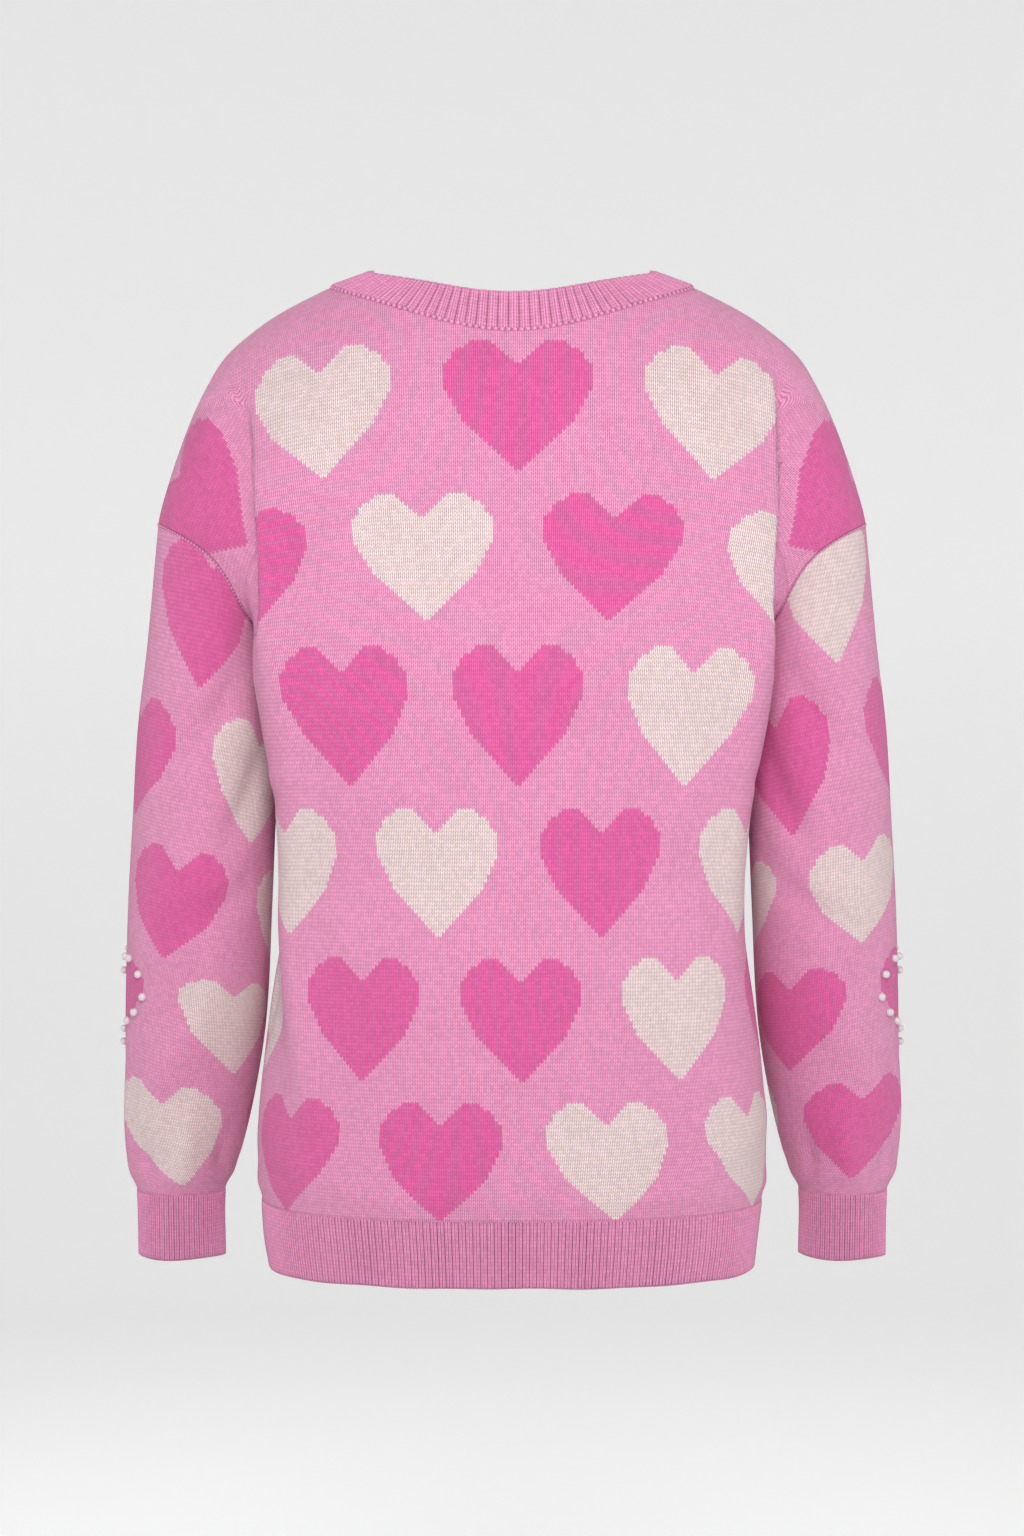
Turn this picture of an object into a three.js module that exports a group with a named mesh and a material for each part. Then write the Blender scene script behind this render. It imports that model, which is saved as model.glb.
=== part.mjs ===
// A worn jacquard-knit sweater: drop shoulders, round ribbed neck, long sleeves with
// ribbed cuffs and a ribbed hem, and a ring of pearls round one heart on each sleeve.
// Millimetres, +Z up. X is the wearer's left, -Y the front. The origin is the middle of
// the neck opening, level with the high shoulder points.
//
// Every cut piece is a closed wall. Its outer face comes from one of two surfaces, both
// worked out from the tables below: the body, as a radius round the Z axis for a bearing
// and a height, and the sleeve, as an oval for each height.

import * as THREE from 'three';
import { mergeVertices } from 'three/addons/utils/BufferGeometryUtils.js';

// ---- driving sizes ----------------------------------------------------------------

const jerseyWall = 2.4;          // two-colour knit with its floats behind
const ribWall = 3.0;
const seamGap = 0.3;             // between two cut pieces at a seam

const shoulderTipZ = -162;       // outer end of the shoulder seam, where the sleeve starts
const underarmZ = -242;
const hemRibTopZ = -617;
const hemZ = -660;
const cuffTopZ = -622;
const cuffEndZ = -668;

const neckDrop = { back: 42, front: 105 };      // below the high shoulder points
const neckHollow = { back: 1.25, front: 1.3 };      // above 1 the neck dips more to a point
const neckRibWidth = 26;
const neckRibSlant = { back: 15, side: 70, front: 40, change: 1.8 };   // degrees in from upright

const armholeBearing = 17.5;     // widest bearing of the armhole seam off the shoulder line
const armholeSag = 3;
const armholeRound = 0.8;        // below 1 the armhole's bearing opens sooner
const centreRowZ = { underarm: -242, tip: -72 };   // centre height of the armhole's courses
const courseDroop = 2.2;         // how late a course falls away towards the armhole
const underNeck = 25;            // from the neck seam down to the last course at the front
const shoulderBend = 1.25;       // how late the shoulder seam falls away from the neck
const yokeSquare = { neck: 2, tip: 2.4 };   // exponent of the yoke's oval

const sideTuckSpread = 16;       // degrees of bearing that the tuck behind the arm covers
const sleeveClearance = 1.2;     // between the sleeve and the side of the body
const underarmAside = 3;         // how much more aside than down the sleeve leaves the underarm
const firstGap = { shoulder: 0.4, underarm: 1.7 };   // from the armhole edge to the sleeve edge
const sleeveEase = 0.22;         // share of the sleeve that eases from the armhole to its ovals
const clearanceEase = 0.05;      // share of it over which the clearance opens
const sleeveRowSpacing = 1.1;    // above 1 the sleeve's rows lie closer at the armhole
const underarmTurns = { from: 1.7, to: 2.6 };   // turns over which the edge's direction changes
const backFold = { bearing: 21, spread: 8, depth: 11, from: -50, full: -120 };

const pearlRadius = 2.75;
const pearlsPerHeart = 16;
const pearlHeart = { width: 84, height: 66, z: -477, lean: 0.25 };   // lean: fall per length towards the back

// ---- grid counts ------------------------------------------------------------------

const halfColumns = 13;          // from the centre of a panel to its side
const neckColumns = 6;           // of those, the ones that end on the neck seam
const torsoRows = 8;
const armholeRows = 9;
const yokeRows = 4;
const sleeveSides = 2 * armholeRows;   // so that the sleeve meets the armhole point for point
const sleeveRows = 12;
const ribRows = 2;
const fineSteps = 160;           // samples used to space a course evenly

// ---- tables -----------------------------------------------------------------------

// Shoulder and upper arm seen from behind: half width at each height.
const shoulderLine = [
  { z: 0, half: 118 },
  { z: -6, half: 131.5 },
  { z: -20, half: 158 },
  { z: -33, half: 176.5 },
  { z: -49, half: 194 },
  { z: -69, half: 206.5 },
  { z: -89, half: 216 },
  { z: -116, half: 226 },
  { z: -145, half: 235 },
  { z: -162, half: 239 },
  { z: -242, half: 247 },
];

// The body tube: half width at its side folds, how far the side tucks in behind the arm,
// depth to the back and to the front, and squareness of the section.
const bodySections = [
  { z: 0, half: 188, tuck: 26, back: 56, front: 46, square: 3.2 },
  { z: -30, half: 188, tuck: 28, back: 74, front: 62, square: 3.3 },
  { z: -80, half: 187, tuck: 30, back: 97, front: 90, square: 3.4 },
  { z: -150, half: 186, tuck: 33, back: 110, front: 112, square: 3.5 },
  { z: -242, half: 186, tuck: 35, back: 114, front: 121, square: 3.5 },
  { z: -300, half: 178, tuck: 32, back: 110, front: 116, square: 3.2 },
  { z: -350, half: 168, tuck: 21, back: 106, front: 110, square: 3.0 },
  { z: -400, half: 158, tuck: 9, back: 103, front: 106, square: 2.8 },
  { z: -440, half: 158, tuck: 2, back: 105, front: 108, square: 2.7 },
  { z: -490, half: 164, tuck: 0, back: 109, front: 113, square: 2.6 },
  { z: -545, half: 170, tuck: 0, back: 116, front: 118, square: 2.6 },
  { z: -590, half: 171, tuck: 0, back: 120, front: 121, square: 2.6 },
  { z: -617, half: 168, tuck: 0, back: 117, front: 118, square: 2.6 },
  { z: -660, half: 163, tuck: 0, back: 112, front: 113, square: 2.6 },
];

// The sleeve: outer and inner edge across, half depth, and middle fore and aft.
const sleeveSections = [
  { z: -162, outer: 239, inner: 150, depth: 58, middle: 0 },
  { z: -242, outer: 247, inner: 153, depth: 60, middle: -2 },
  { z: -300, outer: 254, inner: 157, depth: 57, middle: -4 },
  { z: -360, outer: 258, inner: 161, depth: 55, middle: -8 },
  { z: -420, outer: 262, inner: 164, depth: 53, middle: -14 },
  { z: -495, outer: 266, inner: 169, depth: 50, middle: -30 },
  { z: -545, outer: 267, inner: 177, depth: 45, middle: -42 },
  { z: -590, outer: 267, inner: 188, depth: 40, middle: -53 },
  { z: -610, outer: 265, inner: 196, depth: 35, middle: -58 },
  { z: -622, outer: 262, inner: 201, depth: 31, middle: -60 },
  { z: -668, outer: 262, inner: 202, depth: 31, middle: -70 },
];

// ---- small helpers ----------------------------------------------------------------

const radians = THREE.MathUtils.degToRad;
const lerp = THREE.MathUtils.lerp;
const smooth = THREE.MathUtils.smoothstep;

// Value of a table's column at a height: a cubic through the rows, which run downwards.
function at(table, column, z) {
  const last = table.length - 1;
  if (z >= table[0].z) {
    return table[0][column];
  }
  if (z <= table[last].z) {
    return table[last][column];
  }
  const i = table.findIndex((row) => row.z < z) - 1;
  const slope = (k) => {
    const a = table[Math.max(k - 1, 0)];
    const b = table[Math.min(k + 1, last)];
    return (b[column] - a[column]) / (b.z - a.z);
  };
  const [from, to] = [table[i], table[i + 1]];
  const span = to.z - from.z;
  const u = (z - from.z) / span;
  const keep = (1 + 2 * u) * (1 - u) ** 2;
  return keep * from[column] + (1 - keep) * to[column]
    + span * u * (1 - u) * ((1 - u) * slope(i) - u * slope(i + 1));
}

// Radius of a squared oval in the direction of a bearing, measured up from its width.
function ovalRadius(bearing, half, depth, square) {
  const across = Math.abs(Math.cos(bearing) / half) ** square;
  const along = Math.abs(Math.sin(bearing) / depth) ** square;
  return (across + along) ** (-1 / square);
}

const bell = (value, middle, spread) => Math.exp(-(((value - middle) / spread) ** 2));

// ---- the body surface -------------------------------------------------------------

// A face is 'back' or 'front', and a hand is +1 on the wearer's left and -1 on the right.
// The bearing runs from 0 at the side to a right angle at the middle of the face.
function bodyPoint(face, hand, bearing, z) {
  const depth = at(bodySections, face, z);
  const degrees = THREE.MathUtils.radToDeg(bearing);
  const tube = ovalRadius(bearing, at(bodySections, 'half', z), depth, at(bodySections, 'square', z))
    - at(bodySections, 'tuck', z) * bell(degrees, 0, sideTuckSpread);
  const squareUp = lerp(yokeSquare.neck, yokeSquare.tip, smooth(z / shoulderTipZ, 0, 1));
  const fold = backFold.depth * smooth(-z, -backFold.from, -backFold.full)
    * bell(degrees, backFold.bearing, backFold.spread);
  const yoke = ovalRadius(bearing, at(shoulderLine, 'half', z), depth, squareUp) - fold;
  const radius = lerp(tube, yoke, smooth(z, underarmZ, shoulderTipZ));
  const out = face === 'back' ? 1 : -1;
  return new THREE.Vector3(
    hand * radius * Math.cos(bearing),
    out * (radius * Math.sin(bearing) + seamGap / 2),
    z,
  );
}

// Outward direction of a surface from two small steps across it.
function outward(surface, u, v, stepU, stepV) {
  const alongU = surface(u + stepU, v).sub(surface(u - stepU, v));
  const alongV = surface(u, v + stepV).sub(surface(u, v - stepV));
  return alongU.cross(alongV).normalize();
}

function bodyOutward(face, hand, bearing, z) {
  const surface = (b, height) => bodyPoint(face, hand, b, height);
  const normal = outward(surface, bearing, z, 0.01, 0.5);
  const point = surface(bearing, z);
  if (bearing < 1e-6) {
    normal.y = 0;
    normal.normalize();
  }
  const away = normal.x * point.x + normal.y * point.y + normal.z * 1e-3;
  return away < 0 ? normal.negate() : normal;
}

// Where the armhole seam runs, for a turn round the arm from 0 at the shoulder tip to
// half a circle at the underarm.
function armholePlace(turn) {
  const fall = (1 - Math.cos(turn)) / 2;
  return {
    bearing: radians(armholeBearing) * Math.sin(turn) ** armholeRound,
    z: lerp(shoulderTipZ, underarmZ, fall) - armholeSag * Math.sin(turn),
  };
}

// Height of the neck seam at a bearing.
function neckHeight(face, bearing) {
  return -neckDrop[face] * Math.sin(bearing) ** neckHollow[face];
}

// A course from the middle of a face (share 0) to its end (share 1), on the body surface.
function coursePlace(start, end, share) {
  return {
    bearing: lerp(start.bearing, end.bearing, share),
    z: lerp(start.z, end.z, share ** courseDroop),
  };
}

// Shares from 0 to 1 that divide a curve into equal lengths.
function evenShares(pointAt, count) {
  const lengths = [0];
  for (let i = 1; i <= fineSteps; i += 1) {
    lengths.push(lengths[i - 1] + pointAt((i - 1) / fineSteps).distanceTo(pointAt(i / fineSteps)));
  }
  const whole = lengths[fineSteps];
  return Array.from({ length: count + 1 }, (_, k) => {
    const wanted = (whole * k) / count;
    const i = Math.max(1, lengths.findIndex((length) => length >= wanted - 1e-9));
    const u = (wanted - lengths[i - 1]) / (lengths[i] - lengths[i - 1]);
    return (i - 1 + u) / fineSteps;
  });
}

// A course as evenly spaced places.
function evenCourse(face, placeAt, count) {
  const pointAt = (share) => {
    const place = placeAt(share);
    return bodyPoint(face, 1, place.bearing, place.z);
  };
  return evenShares(pointAt, count).map(placeAt);
}

// The grid of places that a panel covers, rows from the hem ribs up to the shoulder seam
// and the neck seam, and columns from the middle to the side.
function panelPlaces(face) {
  const middle = Math.PI / 2;
  const rows = [];
  const addCourse = (start, end) => {
    const place = (share) => coursePlace(start, end, share);
    rows.push(evenCourse(face, place, halfColumns));
  };
  for (let i = 0; i < torsoRows; i += 1) {
    const z = lerp(hemRibTopZ, underarmZ, i / torsoRows);
    addCourse({ bearing: middle, z }, { bearing: 0, z });
  }
  for (let i = 0; i <= armholeRows; i += 1) {
    const share = i / armholeRows;
    const z = lerp(centreRowZ.underarm, centreRowZ.tip, share);
    const start = face === 'back' ? z : Math.min(z, lerp(underarmZ, -neckDrop.front - underNeck, share));
    addCourse({ bearing: middle, z: start }, armholePlace(Math.PI * (1 - share)));
  }
  const lowest = rows[rows.length - 1];
  for (let k = 1; k <= yokeRows; k += 1) {
    rows.push(lowest.map((from, column) => {
      const bearing = middle * Math.max(0, 1 - column / neckColumns);
      const along = Math.max(0, column - neckColumns) / (halfColumns - neckColumns);
      const z = column <= neckColumns ? neckHeight(face, bearing) : shoulderTipZ * along ** shoulderBend;
      return {
        bearing: lerp(from.bearing, bearing, k / yokeRows),
        z: lerp(from.z, z, k / yokeRows),
      };
    }));
  }
  return rows;
}

// ---- the sleeve surface -----------------------------------------------------------

function sleeveOval(hand, turn, z) {
  const outer = at(sleeveSections, 'outer', z);
  const inner = at(sleeveSections, 'inner', z);
  const depth = at(sleeveSections, 'depth', z);
  return new THREE.Vector3(
    hand * ((outer + inner) / 2 + ((outer - inner) / 2) * Math.cos(turn)),
    at(sleeveSections, 'middle', z) + depth * Math.sin(turn),
    z,
  );
}

// The armhole seam in space: the back face for the first half turn, then the front face.
function armholePoint(hand, turn) {
  const half = turn <= Math.PI ? turn : 2 * Math.PI - turn;
  const place = armholePlace(Math.max(0, half));
  const face = turn <= Math.PI ? 'back' : 'front';
  return bodyPoint(face, hand, place.bearing, place.z);
}

// The sleeve starts on the armhole seam (fall 0) and eases into its ovals (fall 1 is the
// cuff). Its first edge stands off the body's by the seam gap, down and a little out.
function sleevePoint(hand, turn, fall) {
  const seam = armholePoint(hand, turn);
  const inner = ((1 - Math.cos(turn)) / 2) ** 2;
  const off = new THREE.Vector3(hand * underarmAside * inner, 0, -1)
    .setLength(lerp(firstGap.shoulder, firstGap.underarm, inner));
  seam.add(off);
  const z = lerp(seam.z, cuffTopZ, fall);
  const start = sleeveOval(hand, turn, seam.z);
  const ease = 1 - smooth(fall, 0, sleeveEase);
  const point = sleeveOval(hand, turn, z).add(seam.sub(start).multiplyScalar(ease));
  return clearOfBody(point, hand, sleeveClearance * smooth(fall, 0, clearanceEase));
}

// Move a sleeve point outwards until it stands clear of the side of the body.
function clearOfBody(point, hand, clearance) {
  const face = point.y >= 0 ? 'back' : 'front';
  const bearing = Math.atan2(Math.abs(point.y), Math.abs(point.x));
  const body = bodyPoint(face, hand, bearing, point.z);
  const shortfall = Math.hypot(body.x, body.y) + clearance - Math.hypot(point.x, point.y);
  if (shortfall > 0) {
    point.x += hand * shortfall;
  }
  return point;
}

// ---- walls ------------------------------------------------------------------------

// A closed wall from a grid of outer points and their outward directions. A ring's rows
// close on themselves. Points that fall together make no triangle.
function wall(rows, thickness, isRing) {
  const count = rows[0].length;
  const positions = [];
  for (const inset of [0, thickness]) {
    for (const row of rows) {
      for (const { point, normal } of row) {
        positions.push(...point.clone().addScaledVector(normal, -inset).toArray());
      }
    }
  }
  const half = rows.length * count;
  const corner = (row, column, side) => side * half + row * count + (column % count);
  const faces = [];
  const quad = (a, b, c, d) => faces.push([a, b, c], [a, c, d]);
  const spans = isRing ? count : count - 1;
  for (let row = 0; row + 1 < rows.length; row += 1) {
    for (let column = 0; column < spans; column += 1) {
      const next = column + 1;
      quad(corner(row, column, 0), corner(row, next, 0), corner(row + 1, next, 0), corner(row + 1, column, 0));
      quad(corner(row, column, 1), corner(row + 1, column, 1), corner(row + 1, next, 1), corner(row, next, 1));
    }
  }
  const top = rows.length - 1;
  for (let column = 0; column < spans; column += 1) {
    const next = column + 1;
    quad(corner(0, column, 1), corner(0, next, 1), corner(0, next, 0), corner(0, column, 0));
    quad(corner(top, column, 0), corner(top, next, 0), corner(top, next, 1), corner(top, column, 1));
  }
  if (!isRing) {
    const end = count - 1;
    for (let row = 0; row < top; row += 1) {
      quad(corner(row, 0, 0), corner(row + 1, 0, 0), corner(row + 1, 0, 1), corner(row, 0, 1));
      quad(corner(row, end, 1), corner(row + 1, end, 1), corner(row + 1, end, 0), corner(row, end, 0));
    }
  }
  return closedGeometry(positions, faces);
}

// Merge points that coincide, drop the triangles that collapse, and turn the whole
// outside out if it came out reversed.
function closedGeometry(positions, faces) {
  const raw = new THREE.BufferGeometry();
  raw.setAttribute('position', new THREE.Float32BufferAttribute(positions, 3));
  raw.setIndex(faces.flat());
  const merged = mergeVertices(raw, 1e-3);
  const index = merged.index.array;
  const kept = [];
  for (let i = 0; i < index.length; i += 3) {
    const [a, b, c] = [index[i], index[i + 1], index[i + 2]];
    if (a !== b && b !== c && c !== a) {
      kept.push([a, b, c]);
    }
  }
  const point = (i) => new THREE.Vector3().fromBufferAttribute(merged.attributes.position, i);
  const volume = kept.reduce((sum, [a, b, c]) => sum + point(a).dot(point(b).cross(point(c))), 0);
  const turned = volume < 0 ? kept.map(([a, b, c]) => [a, c, b]) : kept;
  merged.setIndex(turned.flat());
  merged.computeVertexNormals();
  return merged;
}

// ---- pieces -----------------------------------------------------------------------

const pink = 0xe98fbe;
const pearlWhite = 0xf4eeea;

const knit = (colour) => new THREE.MeshStandardMaterial({ color: colour, roughness: 0.95, metalness: 0 });

function piece(name, geometry, material) {
  const mesh = new THREE.Mesh(geometry, material);
  mesh.name = name;
  return mesh;
}

// A row of places from one side of a face to the other, through its middle.
function acrossFace(face, places, normalAt) {
  const side = (hand) => places.map((place, column) => ({
    point: bodyPoint(face, hand, place.bearing, place.z),
    normal: normalAt(hand, place, column),
  }));
  return [...side(1).reverse(), ...side(-1).slice(1)];
}

function panel(face) {
  const places = panelPlaces(face);
  const rows = places.map((row, j) => acrossFace(face, row, (hand, place, column) => {
    const own = bodyOutward(face, hand, place.bearing, place.z);
    const onArmhole = column === halfColumns && j >= torsoRows && j <= torsoRows + armholeRows;
    if (!onArmhole) {
      return own;
    }
    const turn = Math.PI * (1 - (j - torsoRows) / armholeRows);
    const share = 1 - smooth(turn, underarmTurns.from, underarmTurns.to);
    return own.lerp(sleeveOutward(hand, face === 'back' ? turn : -turn, 0), share).normalize();
  }));
  return piece(`${face}_panel`, wall(rows, jerseyWall, false), knit(pink));
}

function sleeveOutward(hand, turn, fall) {
  const outer = sleevePointAnyTurn(hand, turn, fall);
  const oval = at(sleeveSections, 'middle', outer.z);
  const centre = (at(sleeveSections, 'outer', outer.z) + at(sleeveSections, 'inner', outer.z)) / 2;
  return new THREE.Vector3(outer.x - hand * centre, outer.y - oval, 0).normalize();
}

function sleevePointAnyTurn(hand, turn, fall) {
  const whole = 2 * Math.PI;
  return sleevePoint(hand, ((turn % whole) + whole) % whole, fall);
}

function sleeveRows3d(hand) {
  return Array.from({ length: sleeveRows + 1 }, (_, row) => {
    const fall = (row / sleeveRows) ** sleeveRowSpacing;
    return Array.from({ length: sleeveSides }, (_, side) => {
      const turn = (2 * Math.PI * side) / sleeveSides;
      return {
        point: sleevePointAnyTurn(hand, turn, fall),
        normal: sleeveOutward(hand, turn, fall),
      };
    });
  });
}

function sleeve(name, hand) {
  return piece(name, wall(sleeveRows3d(hand), jerseyWall, true), knit(pink));
}

function cuff(name, hand) {
  const rows = Array.from({ length: ribRows + 1 }, (_, row) => {
    const z = lerp(cuffTopZ - seamGap, cuffEndZ, row / ribRows);
    return Array.from({ length: sleeveSides }, (_, side) => {
      const turn = (2 * Math.PI * side) / sleeveSides;
      const point = sleeveOval(hand, turn, z);
      const centre = sleeveOval(hand, turn + Math.PI, z).add(point).multiplyScalar(0.5);
      return { point, normal: point.clone().sub(centre).normalize() };
    });
  });
  return piece(name, wall(rows, ribWall, true), knit(pink));
}

function hemRib(face) {
  const rows = Array.from({ length: ribRows + 1 }, (_, row) => {
    const z = lerp(hemZ, hemRibTopZ - seamGap, row / ribRows);
    const across = (share) => ({ bearing: lerp(Math.PI / 2, 0, share), z });
    return acrossFace(face, evenCourse(face, across, halfColumns), (hand, place) => (
      bodyOutward(face, hand, place.bearing, place.z)
    ));
  });
  return piece(`hem_rib_${face}`, wall(rows, ribWall, false), knit(pink));
}

// The neck rib stands on the neck seam and leans in towards the neck.
function neckRib() {
  const steps = 4 * neckColumns;
  const seamPlace = (turn) => {
    const face = Math.sin(turn) >= 0 ? 'back' : 'front';
    const hand = Math.cos(turn) >= 0 ? 1 : -1;
    const bearing = Math.asin(Math.min(1, Math.abs(Math.sin(turn))));
    return [face, hand, bearing, neckHeight(face, bearing)];
  };
  const ribPoint = (turn, share) => {
    const seam = bodyPoint(...seamPlace(turn));
    const face = Math.sin(turn) >= 0 ? 'back' : 'front';
    const upright = Math.abs(Math.sin(turn)) ** neckRibSlant.change;
    const slant = radians(lerp(neckRibSlant.side, neckRibSlant[face], upright));
    const inward = new THREE.Vector3(seam.x, seam.y, 0).normalize().multiplyScalar(-Math.sin(slant));
    const rise = inward.setZ(Math.cos(slant));
    return seam.addScaledVector(rise, seamGap * 2 + neckRibWidth * share);
  };
  const rows = Array.from({ length: ribRows + 1 }, (_, row) => (
    Array.from({ length: steps }, (_, i) => {
      const turn = (2 * Math.PI * i) / steps;
      const share = row / ribRows;
      const point = ribPoint(turn, share);
      if (row === 0) {
        return { point, normal: bodyOutward(...seamPlace(turn)) };
      }
      const normal = outward(ribPoint, turn, share, 0.02, 0.1);
      const isOut = normal.x * point.x + normal.y * point.y + normal.z > 0;
      return { point, normal: isOut ? normal : normal.negate() };
    })
  ));
  return piece('neck_rib', wall(rows, ribWall, true), knit(pink));
}

// Height and turn of a place on the sleeve, put on the flat of the wall's own facets.
function onSleeveFacet(rows, hand, turn, z) {
  const side = (((turn / (2 * Math.PI)) * sleeveSides) + sleeveSides) % sleeveSides;
  const column = Math.floor(side);
  const alongRow = (row) => rows[row][column].point.clone()
    .lerp(rows[row][(column + 1) % sleeveSides].point, side - column);
  const lower = rows.findIndex((_, row) => alongRow(row).z < z);
  const upper = alongRow(lower - 1);
  const under = alongRow(lower);
  return upper.lerp(under, (upper.z - z) / (upper.z - under.z));
}

// The flat outline of the pearled heart, once round from its notch: the cube of a sine
// across and a sum of four cosines up.
function heartOutline(share) {
  const t = 2 * Math.PI * share;
  const up = (13 * Math.cos(t) - 5 * Math.cos(2 * t) - 2 * Math.cos(3 * t) - Math.cos(4 * t)) / 14.5;
  return new THREE.Vector2((Math.sin(t) ** 3 * pearlHeart.width) / 2, (up * pearlHeart.height) / 2);
}

// Pearls follow the heart's outline on the outer side of the sleeve.
function pearls(hand, label) {
  const rows = sleeveRows3d(hand);
  const arm = (at(sleeveSections, 'outer', pearlHeart.z) - at(sleeveSections, 'inner', pearlHeart.z)) / 2;
  return evenShares(heartOutline, pearlsPerHeart).slice(1).map((share, i) => {
    const spot = heartOutline(share);
    const turn = spot.x / arm;
    const seat = onSleeveFacet(rows, hand, turn, pearlHeart.z + spot.y - pearlHeart.lean * spot.x);
    const normal = new THREE.Vector3(hand * Math.cos(turn), Math.sin(turn), 0).normalize();
    const mesh = piece(
      `pearl_${label}_${String(i + 1).padStart(2, '0')}`,
      mergeVertices(new THREE.SphereGeometry(pearlRadius, 6, 5).deleteAttribute('normal').deleteAttribute('uv')),
      new THREE.MeshStandardMaterial({ color: pearlWhite, roughness: 0.18, metalness: 0 }),
    );
    mesh.position.copy(seat.addScaledVector(normal, pearlRadius + seamGap));
    return mesh;
  });
}

const sweater = new THREE.Group();
sweater.add(
  panel('back'),
  panel('front'),
  sleeve('sleeve_left', 1),
  sleeve('sleeve_right', -1),
  neckRib(),
  hemRib('back'),
  hemRib('front'),
  cuff('cuff_left', 1),
  cuff('cuff_right', -1),
  ...pearls(1, 'left'),
  ...pearls(-1, 'right'),
);

export default sweater;
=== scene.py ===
"""A worn jacquard-knit sweater: its cloth, ribs, seams and pearls, on a pale studio floor.

Sizes inside the shape functions are millimetres, in the frame's own axes: +Z up, X to the
wearer's left, -Y the front. Meshes are written in metres.
"""

import math
from math import pi

import bmesh
import bpy
import numpy as np
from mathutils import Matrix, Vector


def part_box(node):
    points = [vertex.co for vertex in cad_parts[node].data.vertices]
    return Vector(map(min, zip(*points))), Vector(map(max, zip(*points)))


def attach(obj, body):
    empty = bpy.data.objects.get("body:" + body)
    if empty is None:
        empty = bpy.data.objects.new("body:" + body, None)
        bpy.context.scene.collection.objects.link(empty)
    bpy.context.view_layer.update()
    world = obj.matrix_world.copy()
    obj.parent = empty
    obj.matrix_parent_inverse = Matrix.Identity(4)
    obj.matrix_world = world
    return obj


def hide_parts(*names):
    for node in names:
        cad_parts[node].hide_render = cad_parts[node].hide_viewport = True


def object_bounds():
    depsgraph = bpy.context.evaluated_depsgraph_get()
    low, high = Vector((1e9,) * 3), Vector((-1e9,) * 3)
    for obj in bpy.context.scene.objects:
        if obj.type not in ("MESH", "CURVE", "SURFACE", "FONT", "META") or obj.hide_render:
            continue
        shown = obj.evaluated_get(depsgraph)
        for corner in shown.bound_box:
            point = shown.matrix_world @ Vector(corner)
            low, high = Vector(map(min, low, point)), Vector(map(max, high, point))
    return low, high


bl_info = {
    "name": "Jacquard Sweater",
    "version": (1, 0, 0),
    "blender": (4, 5, 0),
    "location": "3D View > Sidebar > Sweater",
    "description": "Builds a worn jacquard sweater with hearts, ribs and pearls",
    "category": "Add Mesh",
}

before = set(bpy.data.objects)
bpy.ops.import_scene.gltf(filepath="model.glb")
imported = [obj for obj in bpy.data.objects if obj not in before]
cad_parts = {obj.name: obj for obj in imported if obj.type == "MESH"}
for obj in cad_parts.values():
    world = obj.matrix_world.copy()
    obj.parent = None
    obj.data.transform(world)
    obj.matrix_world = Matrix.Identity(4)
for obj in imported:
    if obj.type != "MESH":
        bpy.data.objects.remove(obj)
CAD_BOX = [[float(v) for v in corner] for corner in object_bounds()]
BODY = "root"
MM = 0.001
HANDS = {"left": 1, "right": -1}
FACES = ("back", "front")


def table(columns, *rows):
    """Rows of values under named columns, as a list of dictionaries."""
    return [dict(zip(columns.split(), row)) for row in rows]


# ---- sizes shared with the frame's solids ----

JERSEY_WALL = 2.4
RIB_WALL = 3.0
SEAM_GAP = 0.3
SHOULDER_TIP_Z = -162.0
UNDERARM_Z = -242.0
HEM_RIB_TOP_Z = -617.0
HEM_Z = -660.0
CUFF_TOP_Z = -622.0
CUFF_END_Z = -668.0
NECK_DROP = {"back": 42.0, "front": 105.0}
NECK_HOLLOW = {"back": 1.25, "front": 1.3}
NECK_RIB_WIDTH = 26.0
NECK_RIB_SLANT = {"back": 15.0, "side": 70.0, "front": 40.0, "change": 1.8}
NECK_COLUMNS = 6 / 13            # share of a half panel's columns that end at the neck
SHOULDER_FALL = 1.25             # power by which the shoulder seam falls along its length
ARMHOLE_BEARING = 17.5
ARMHOLE_SAG = 3.0
FRONT_ROW_DROP = 25.0            # from the front neck to the last row of the armhole
TOP_ROW_Z = -72.0                # the same row's middle at the back
COURSE_DROOP = 2.2
YOKE_SQUARE = 2.4
SIDE_TUCK_SPREAD = 16.0
SLEEVE_CLEARANCE = 1.2
SLEEVE_EASE = 0.22               # share of a sleeve over which the armhole turns oval
BACK_FOLD = {"bearing": 21.0, "spread": 8.0, "depth": 11.0, "start": 50.0, "full": 120.0}

SHOULDER_LINE = table(
    "z half",
    (0, 118), (-6, 131.5), (-20, 158), (-33, 176.5), (-49, 194), (-69, 206.5),
    (-89, 216), (-116, 226), (-145, 235), (-162, 239), (-242, 247))

BODY_SECTIONS = table(
    "z half tuck back front square",
    (0, 188, 26, 56, 46, 3.2), (-30, 188, 28, 74, 62, 3.3), (-80, 187, 30, 97, 90, 3.4),
    (-150, 186, 33, 110, 112, 3.5), (-242, 186, 35, 114, 121, 3.5), (-300, 178, 32, 110, 116, 3.2),
    (-350, 168, 21, 106, 110, 3.0), (-400, 158, 9, 103, 106, 2.8), (-440, 158, 2, 105, 108, 2.7),
    (-490, 164, 0, 109, 113, 2.6), (-545, 170, 0, 116, 118, 2.6), (-590, 171, 0, 120, 121, 2.6),
    (-617, 168, 0, 117, 118, 2.6), (-660, 163, 0, 112, 113, 2.6))

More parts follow.
